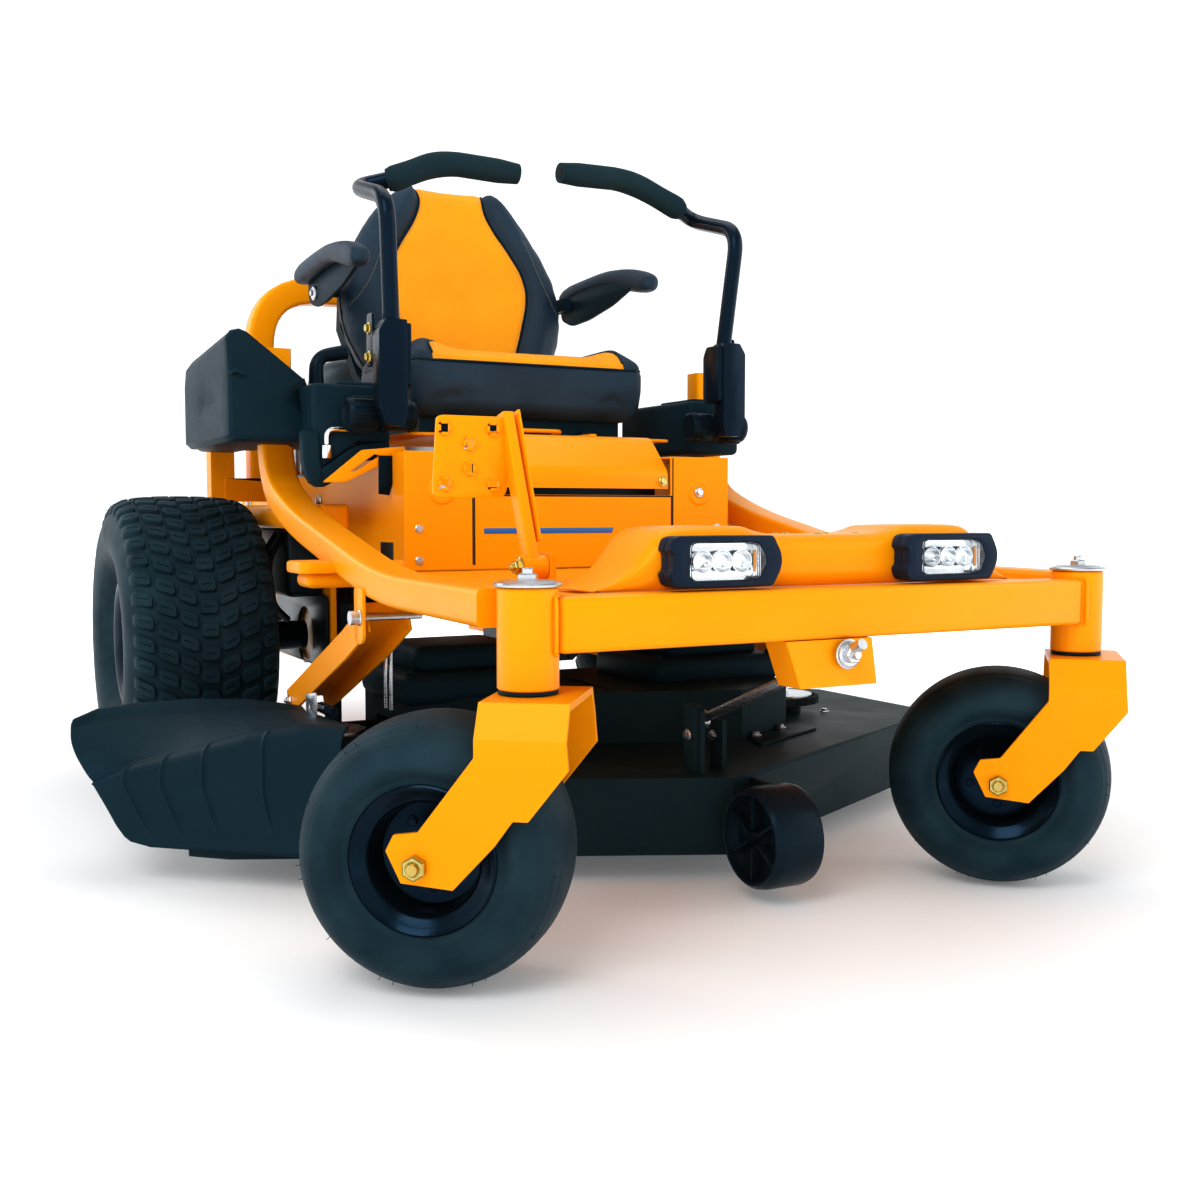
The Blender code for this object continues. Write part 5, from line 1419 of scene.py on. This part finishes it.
def seat_back():
    """Back rest: bolstered pad, hourglass panel, piping, stitching and side seams."""
    lean = Matrix.Translation(BACK_FOOT) @ Matrix.Rotation(BACK_LEAN, 4, "X")
    whole = [(w + 0.002, z) for z, w in BACK_TABLE] + [(-w - 0.002, z) for z, w in BACK_TABLE[::-1]]
    bm = slab([whole], "XZ", 0.006, 0.088, 0.018)
    pad = piece("back_pad", bm, vinyl("vinyl_back", back_mask), "seat", ("seat_back",),
                lean)

    def shape(co):
        front = max(0.0, min(1.0, (0.070 - co.y) / 0.055))
        half = interpolate(BACK_TABLE, co.z)
        edge = interpolate(PANEL_TABLE, co.z)
        over = (abs(co.x) - edge) / max(0.03, half - edge)
        bolster = math.sin(math.pi * max(0.0, min(1.0, over))) ** 0.8 * 0.018
        dish = 0.010 * (1 - min(1.0, abs(co.x) / edge) ** 2)
        co.y -= front * (bolster - dish) - 0.002
        return co

    puffed(pad, 4.0, 0.006, shape)
    edges = smoothed(PANEL_TABLE, 6)

    def from_panel(co):
        if co.y > 0.06:
            return 1.0
        return abs(abs(co.x) - interpolate(edges, co.z))

    groove(pad, 0.0045, 0.0045, from_panel)
    side_seam = [(0.135, 0.300), (0.150, 0.250), (0.172, 0.200), (0.196, 0.165), (0.226, 0.142)]
    curve = smoothed([(x, z) for x, z in side_seam], 6)

    def from_side(co):
        if co.y > 0.05:
            return 1.0
        return min((Vector((abs(co.x), co.z)) - Vector(p)).length for p in curve)

    groove(pad, 0.0030, 0.0038, from_side)
    subdivided(pad)
    front = (0, 1, 0)
    trims, threads = [], []
    for sign in (-1, 1):
        run = [(w * sign, 0.0, z) for z, w in edges if 0.012 < z < 0.394]
        trims.append(tube(on_surface(pad, run, front, -0.0002), 0.0026, 3))
        inner = [((w - 0.0065) * sign, 0.0, z) for z, w in edges if 0.016 < z < 0.388]
        threads.append(stitches(on_surface(pad, inner, front, 0.0002)))
        seam = [(x * sign, 0.0, z) for x, z in curve[:-3]]
        threads.append(stitches(on_surface(pad, [(x + 0.004 * sign, y, z - 0.003) for x, y, z in seam],
                                           front, 0.0002), 0.006))
    piece("back_piping", merged(*trims), SMOOTH_PLASTIC, "seat", (), lean)
    piece("back_stitching", merged(*threads), THREAD, "seat", (), lean)
    welt = around(pad, [(a, 0.050, b) for a, b in rounded(whole, 0.012, 3, closed=True)],
                  (0, 0.050, 0.20))
    piece("back_welt", tube(welt, 0.0026, 3), SMOOTH_PLASTIC, "seat", (), lean)


def around(obj, points, middle):
    """A closed welt where lines from a middle point to the given points meet a pad."""
    tree = BVHTree.FromPolygons([v.co for v in obj.data.vertices],
                                [p.vertices[:] for p in obj.data.polygons])
    middle = Vector(middle)
    path = []
    for point in points + points[:1]:
        outward = (Vector(point) - middle).normalized()
        hit, normal, _, _ = tree.ray_cast(middle + outward * 0.5, -outward)
        if hit is not None:
            path.append(hit - normal * 0.0006)
    return path


def seat_cushion():
    """Seat cushion: deep front roll, side bolsters, panel seams and a welt."""
    bm = block((-0.2175, 0.797, 0.6405), (0.2175, 1.073, 0.7415), 0.020, 4)
    pad = piece("cushion_pad", bm, vinyl("vinyl_cushion", cushion_mask), "seat",
                ("seat_cushion",))

    def shape(co):
        top = max(0.0, min(1.0, (co.z - 0.680) / 0.05))
        across = abs(co.x) / 0.2175
        behind = max(0.0, min(1.0, (co.y - 0.800) / 0.05))
        bolster = 0.017 * math.exp(-((across - 0.80) / 0.16) ** 2) * behind
        dish = 0.006 * math.exp(-((co.y - 0.97) / 0.10) ** 2) * (1 - min(1.0, across) ** 2)
        co.z += top * (bolster - dish)
        low = max(0.0, min(1.0, (0.690 - co.z) / 0.05))
        co.y += 0.005 * low * (1 if co.y < 0.94 else -1)
        co.x *= 1 - 0.02 * low
        return co

    puffed(pad, 4.0, 0.006, shape)
    groove(pad, 0.0035, 0.0042,
           lambda co: abs(abs(co.x) - cushion_half(co.y)) if co.z > SEAM_Z else 1.0)
    groove(pad, 0.0030, 0.0036,
           lambda co: abs(co.z - SEAM_Z) if co.y < 0.85 or abs(co.x) > 0.185 else 1.0)
    subdivided(pad)
    down = (0, 0, -1)
    trims, threads = [], []
    for sign in (-1, 1):
        spots = [0.812 + 0.008 * i for i in range(32)]
        run = [(cushion_half(y) * sign, y, 0.70) for y in spots]
        trims.append(tube(on_surface(pad, run, down, -0.0002), 0.0024, 3))
        inner = [((cushion_half(y) - 0.0065) * sign, y, 0.70) for y in spots[1:-1]]
        threads.append(stitches(on_surface(pad, inner, down, 0.0002)))
    outline = [(x, 0.935 + y, SEAM_Z) for x, y in rectangle(0.43, 0.27, 0.050, 6)]
    welt = around(pad, outline, (0, 0.935, SEAM_Z))
    trims.append(tube(welt, 0.0026, 3))
    piece("cushion_piping", merged(*trims), SMOOTH_PLASTIC, "seat")
    piece("cushion_stitching", merged(*threads), THREAD, "seat")


ARM_UPPER = [(1.222, 0.908), (1.214, 0.922), (1.190, 0.9300), (1.125, 0.9345), (1.035, 0.9360),
             (0.985, 0.9325), (0.935, 0.9250), (0.890, 0.9130), (0.868, 0.9010)]
ARM_LOWER = [(1.221, 0.902), (1.212, 0.894), (1.190, 0.8940), (1.125, 0.9010), (1.040, 0.9030),
             (0.995, 0.8980), (0.940, 0.8840), (0.897, 0.8760), (0.870, 0.8800)]


def armrests():
    """Moulded arm pads with a rounded nose, a gusset plate below and the pivot bolt."""
    upper, lower = smoothed(ARM_UPPER, 5), smoothed(ARM_LOWER, 5)
    count = len(upper) - 1
    for name, side in SIDES.items():
        bm = bmesh.new()
        rows = []
        middle = 0.270 * side
        for i, (top, bottom) in enumerate(zip(upper, lower)):
            high, low = Vector(top), Vector(bottom)
            end = min(1.0, i / count / 0.07, (1.0 - i / count) / 0.06)
            end = math.sqrt(max(0.05, 1 - (1 - end) ** 2))
            wide = 0.0178 * end
            ring = []
            for a, b in rectangle(2.0, 2.0, 0.80, 3):
                spot = low.lerp(high, 0.5 + b / 2)
                ring.append(bm.verts.new((middle + a * wide, spot.x, spot.y)))
            rows.append(ring)
        for low, high in zip(rows, rows[1:]):
            for i in range(len(low)):
                j = (i + 1) % len(low)
                bm.faces.new((low[i], low[j], high[j], high[i]))
        bm.faces.new(rows[0][::-1])
        bm.faces.new(rows[-1])
        pad = piece("arm_pad_" + name, bm, vinyl("vinyl_arm_" + name), "armrest_" + name,
                    ("armrest_" + name,), smooth=70)
        puffed(pad, 2.0, 0.0015)
        groove(pad, 0.0016, 0.0022, lambda co, m=middle: abs(co.x - m) if co.z < 0.880 else 1.0)
        subdivided(pad)
        web = rounded([(0.915, 0.890), (1.000, 0.866), (1.095, 0.851), (1.165, 0.848), (1.208, 0.864),
                       (1.212, 0.905), (1.100, 0.915), (0.950, 0.906)], 0.014, 4, True)
        gusset = slab([web], "YZ", *sorted((0.2545 * side, 0.2620 * side)), 0.0020)
        piece("arm_gusset_" + name, gusset, PLASTIC, "armrest_" + name)
        hinge = merged(moved(lathe([(0, 0), (0.013, 0), (0.013, 0.003), (0.0115, 0.0045), (0, 0.0045)], 36),
                             aimed((0.2620 * side, 1.165, 0.873), (side, 0, 0))),
                       bolt((0.2655 * side, 1.165, 0.873), (side, 0, 0), 0.0058))
        piece("arm_pivot_" + name, hinge, ZINC, "armrest_" + name)


def seat_shell():
    """Moulded shell behind the pads with its ribs and bolts, slide rails and a latch bar."""
    dressed("seat_shell", PLASTIC, 0.0030)
    lean = Matrix.Translation(BACK_FOOT) @ Matrix.Rotation(BACK_LEAN, 4, "X")
    bolts = [bolt((x, 0.1178, z), (0, 1, 0), 0.0060) for x in (-0.10, 0.10) for z in (0.06, 0.24)]
    piece("shell_bolts", merged(*bolts), ZINC, "seat", (), lean)
    ribs = [block((x - 0.0025, 0.1165, 0.02), (x + 0.0025, 0.1235, 0.33), 0.0015)
            for x in (-0.05, 0.0, 0.05)]
    piece("shell_ribs", merged(*ribs), PLASTIC, "seat", (), lean)
    under = []
    for side in SIDES.values():
        under.append(tube([(0.060 * side, 0.850, 0.6080), (0.060 * side, 1.05, 0.6080)], 0.0032, 3))
        under.append(moved(lathe([(0, 0), (0.008, 0), (0.008, 0.004), (0, 0.004)], 20),
                           aimed((0.155 * side, 0.87, 0.6060), (0, 0, 1))))
    piece("slide_spacers", merged(*under), ZINC, "seat")
    loop = rounded([(-0.055, 0.842, 0.6105), (-0.055, 0.805, 0.6155), (0.055, 0.805, 0.6155),
                    (0.055, 0.842, 0.6105)], 0.015, 5)
    piece("slide_latch_bar", tube(loop, 0.0035, 4), YELLOW, "seat")




# ---------------------------------------------------------------- stage
def soft_light(name, location, target, size, power):
    """A large area light aimed at a point."""
    data = bpy.data.lights.new(name, "AREA")
    data.shape = "RECTANGLE"
    data.size, data.size_y = size
    data.energy = power
    lamp = bpy.data.objects.new(name, data)
    bpy.context.scene.collection.objects.link(lamp)
    lamp.location = location
    lamp.rotation_euler = (Vector(target) - Vector(location)).to_track_quat("-Z", "Y").to_euler()


def studio_world():
    """White walls all round under a dimmer ceiling."""
    world = bpy.data.worlds.new("studio")
    world.use_nodes = True
    nodes, links = world.node_tree.nodes, world.node_tree.links
    place = nodes.new("ShaderNodeTexCoord")
    axes = nodes.new("ShaderNodeSeparateXYZ")
    links.new(place.outputs["Generated"], axes.inputs[0])
    fade = nodes.new("ShaderNodeValToRGB")
    for element, position, colour in zip(fade.color_ramp.elements, (0.42, 0.62),
                                         ((0.985, 0.993, 1.0, 1.0), (0.34, 0.36, 0.38, 1.0))):
        element.position = position
        element.color = colour
    links.new(axes.outputs["Z"], fade.inputs["Fac"])
    links.new(fade.outputs["Color"], nodes["Background"].inputs["Color"])
    nodes["Background"].inputs["Strength"].default_value = 1.02
    return world


def stage():
    """Pale floor, soft studio light and the camera."""
    scene = bpy.context.scene
    scene.view_settings.view_transform = "Standard"
    bm = bmesh.new()
    bmesh.ops.create_grid(bm, x_segments=8, y_segments=8, size=14.0)
    mesh = bpy.data.meshes.new("floor")
    bm.to_mesh(mesh)
    bm.free()
    pale = Finish("floor_pale", 0.55, Specular_IOR_Level=0.25)
    pale.colour((0.90, 0.900, 0.90), (0.93, 0.930, 0.93), 0.6)
    reach = pale.node("ShaderNodeVectorMath", operation="LENGTH")
    pale.link(pale.place, reach.inputs[0])
    far = pale.node("ShaderNodeMapRange", interpolation_type="SMOOTHSTEP")
    for socket, value in (("From Min", 0.9), ("From Max", 3.2), ("To Min", 0.10), ("To Max", 1.0)):
        far.inputs[socket].default_value = value
    pale.link(reach.outputs["Value"], far.inputs["Value"])
    pale.link(far.outputs[0], pale.shader.inputs["Emission Strength"])
    pale.set("Emission Color", (1.0, 1.0, 1.0, 1.0))
    mesh.materials.append(pale.mat)
    floor = bpy.data.objects.new("floor", mesh)
    scene.collection.objects.link(floor)
    scene.view_settings.look = "Medium High Contrast"
    scene.world = studio_world()
    soft_light("key", (-2.6, -2.6, 3.4), (0, 0, 0.4), (2.2, 2.2), 70)
    soft_light("top", (0.3, 0.4, 3.8), (0, 0, 0.3), (3.0, 3.0), 36)
    soft_light("fill", (3.0, -2.4, 1.8), (0, -0.2, 0.4), (1.6, 2.4), 14)
    soft_light("rim", (-2.4, 3.0, 2.4), (0, 0.4, 0.5), (1.2, 2.4), 24)
    data = bpy.data.cameras.new("camera")
    data.lens = 39.35
    data.sensor_width = 36.0
    camera = bpy.data.objects.new("camera", data)
    scene.collection.objects.link(camera)
    camera.location = (-0.8825, -2.0686, 0.4808)
    camera.rotation_euler = (math.radians(86.14), 0.0, math.radians(-28.29))
    scene.camera = camera


stage()
front_beam()
side_rails()
rear_frame()
front_cowl()
headlights()
seat_box()
box_shade_sheet()
seat_platform()
front_hanger()
castors()
rear_wheels()
deck()
discharge_chute()
deck_links()
deck_pedal()
tank()
levers()
small_controls()
engine()
seat_shell()
seat_back()
seat_cushion()
armrests()
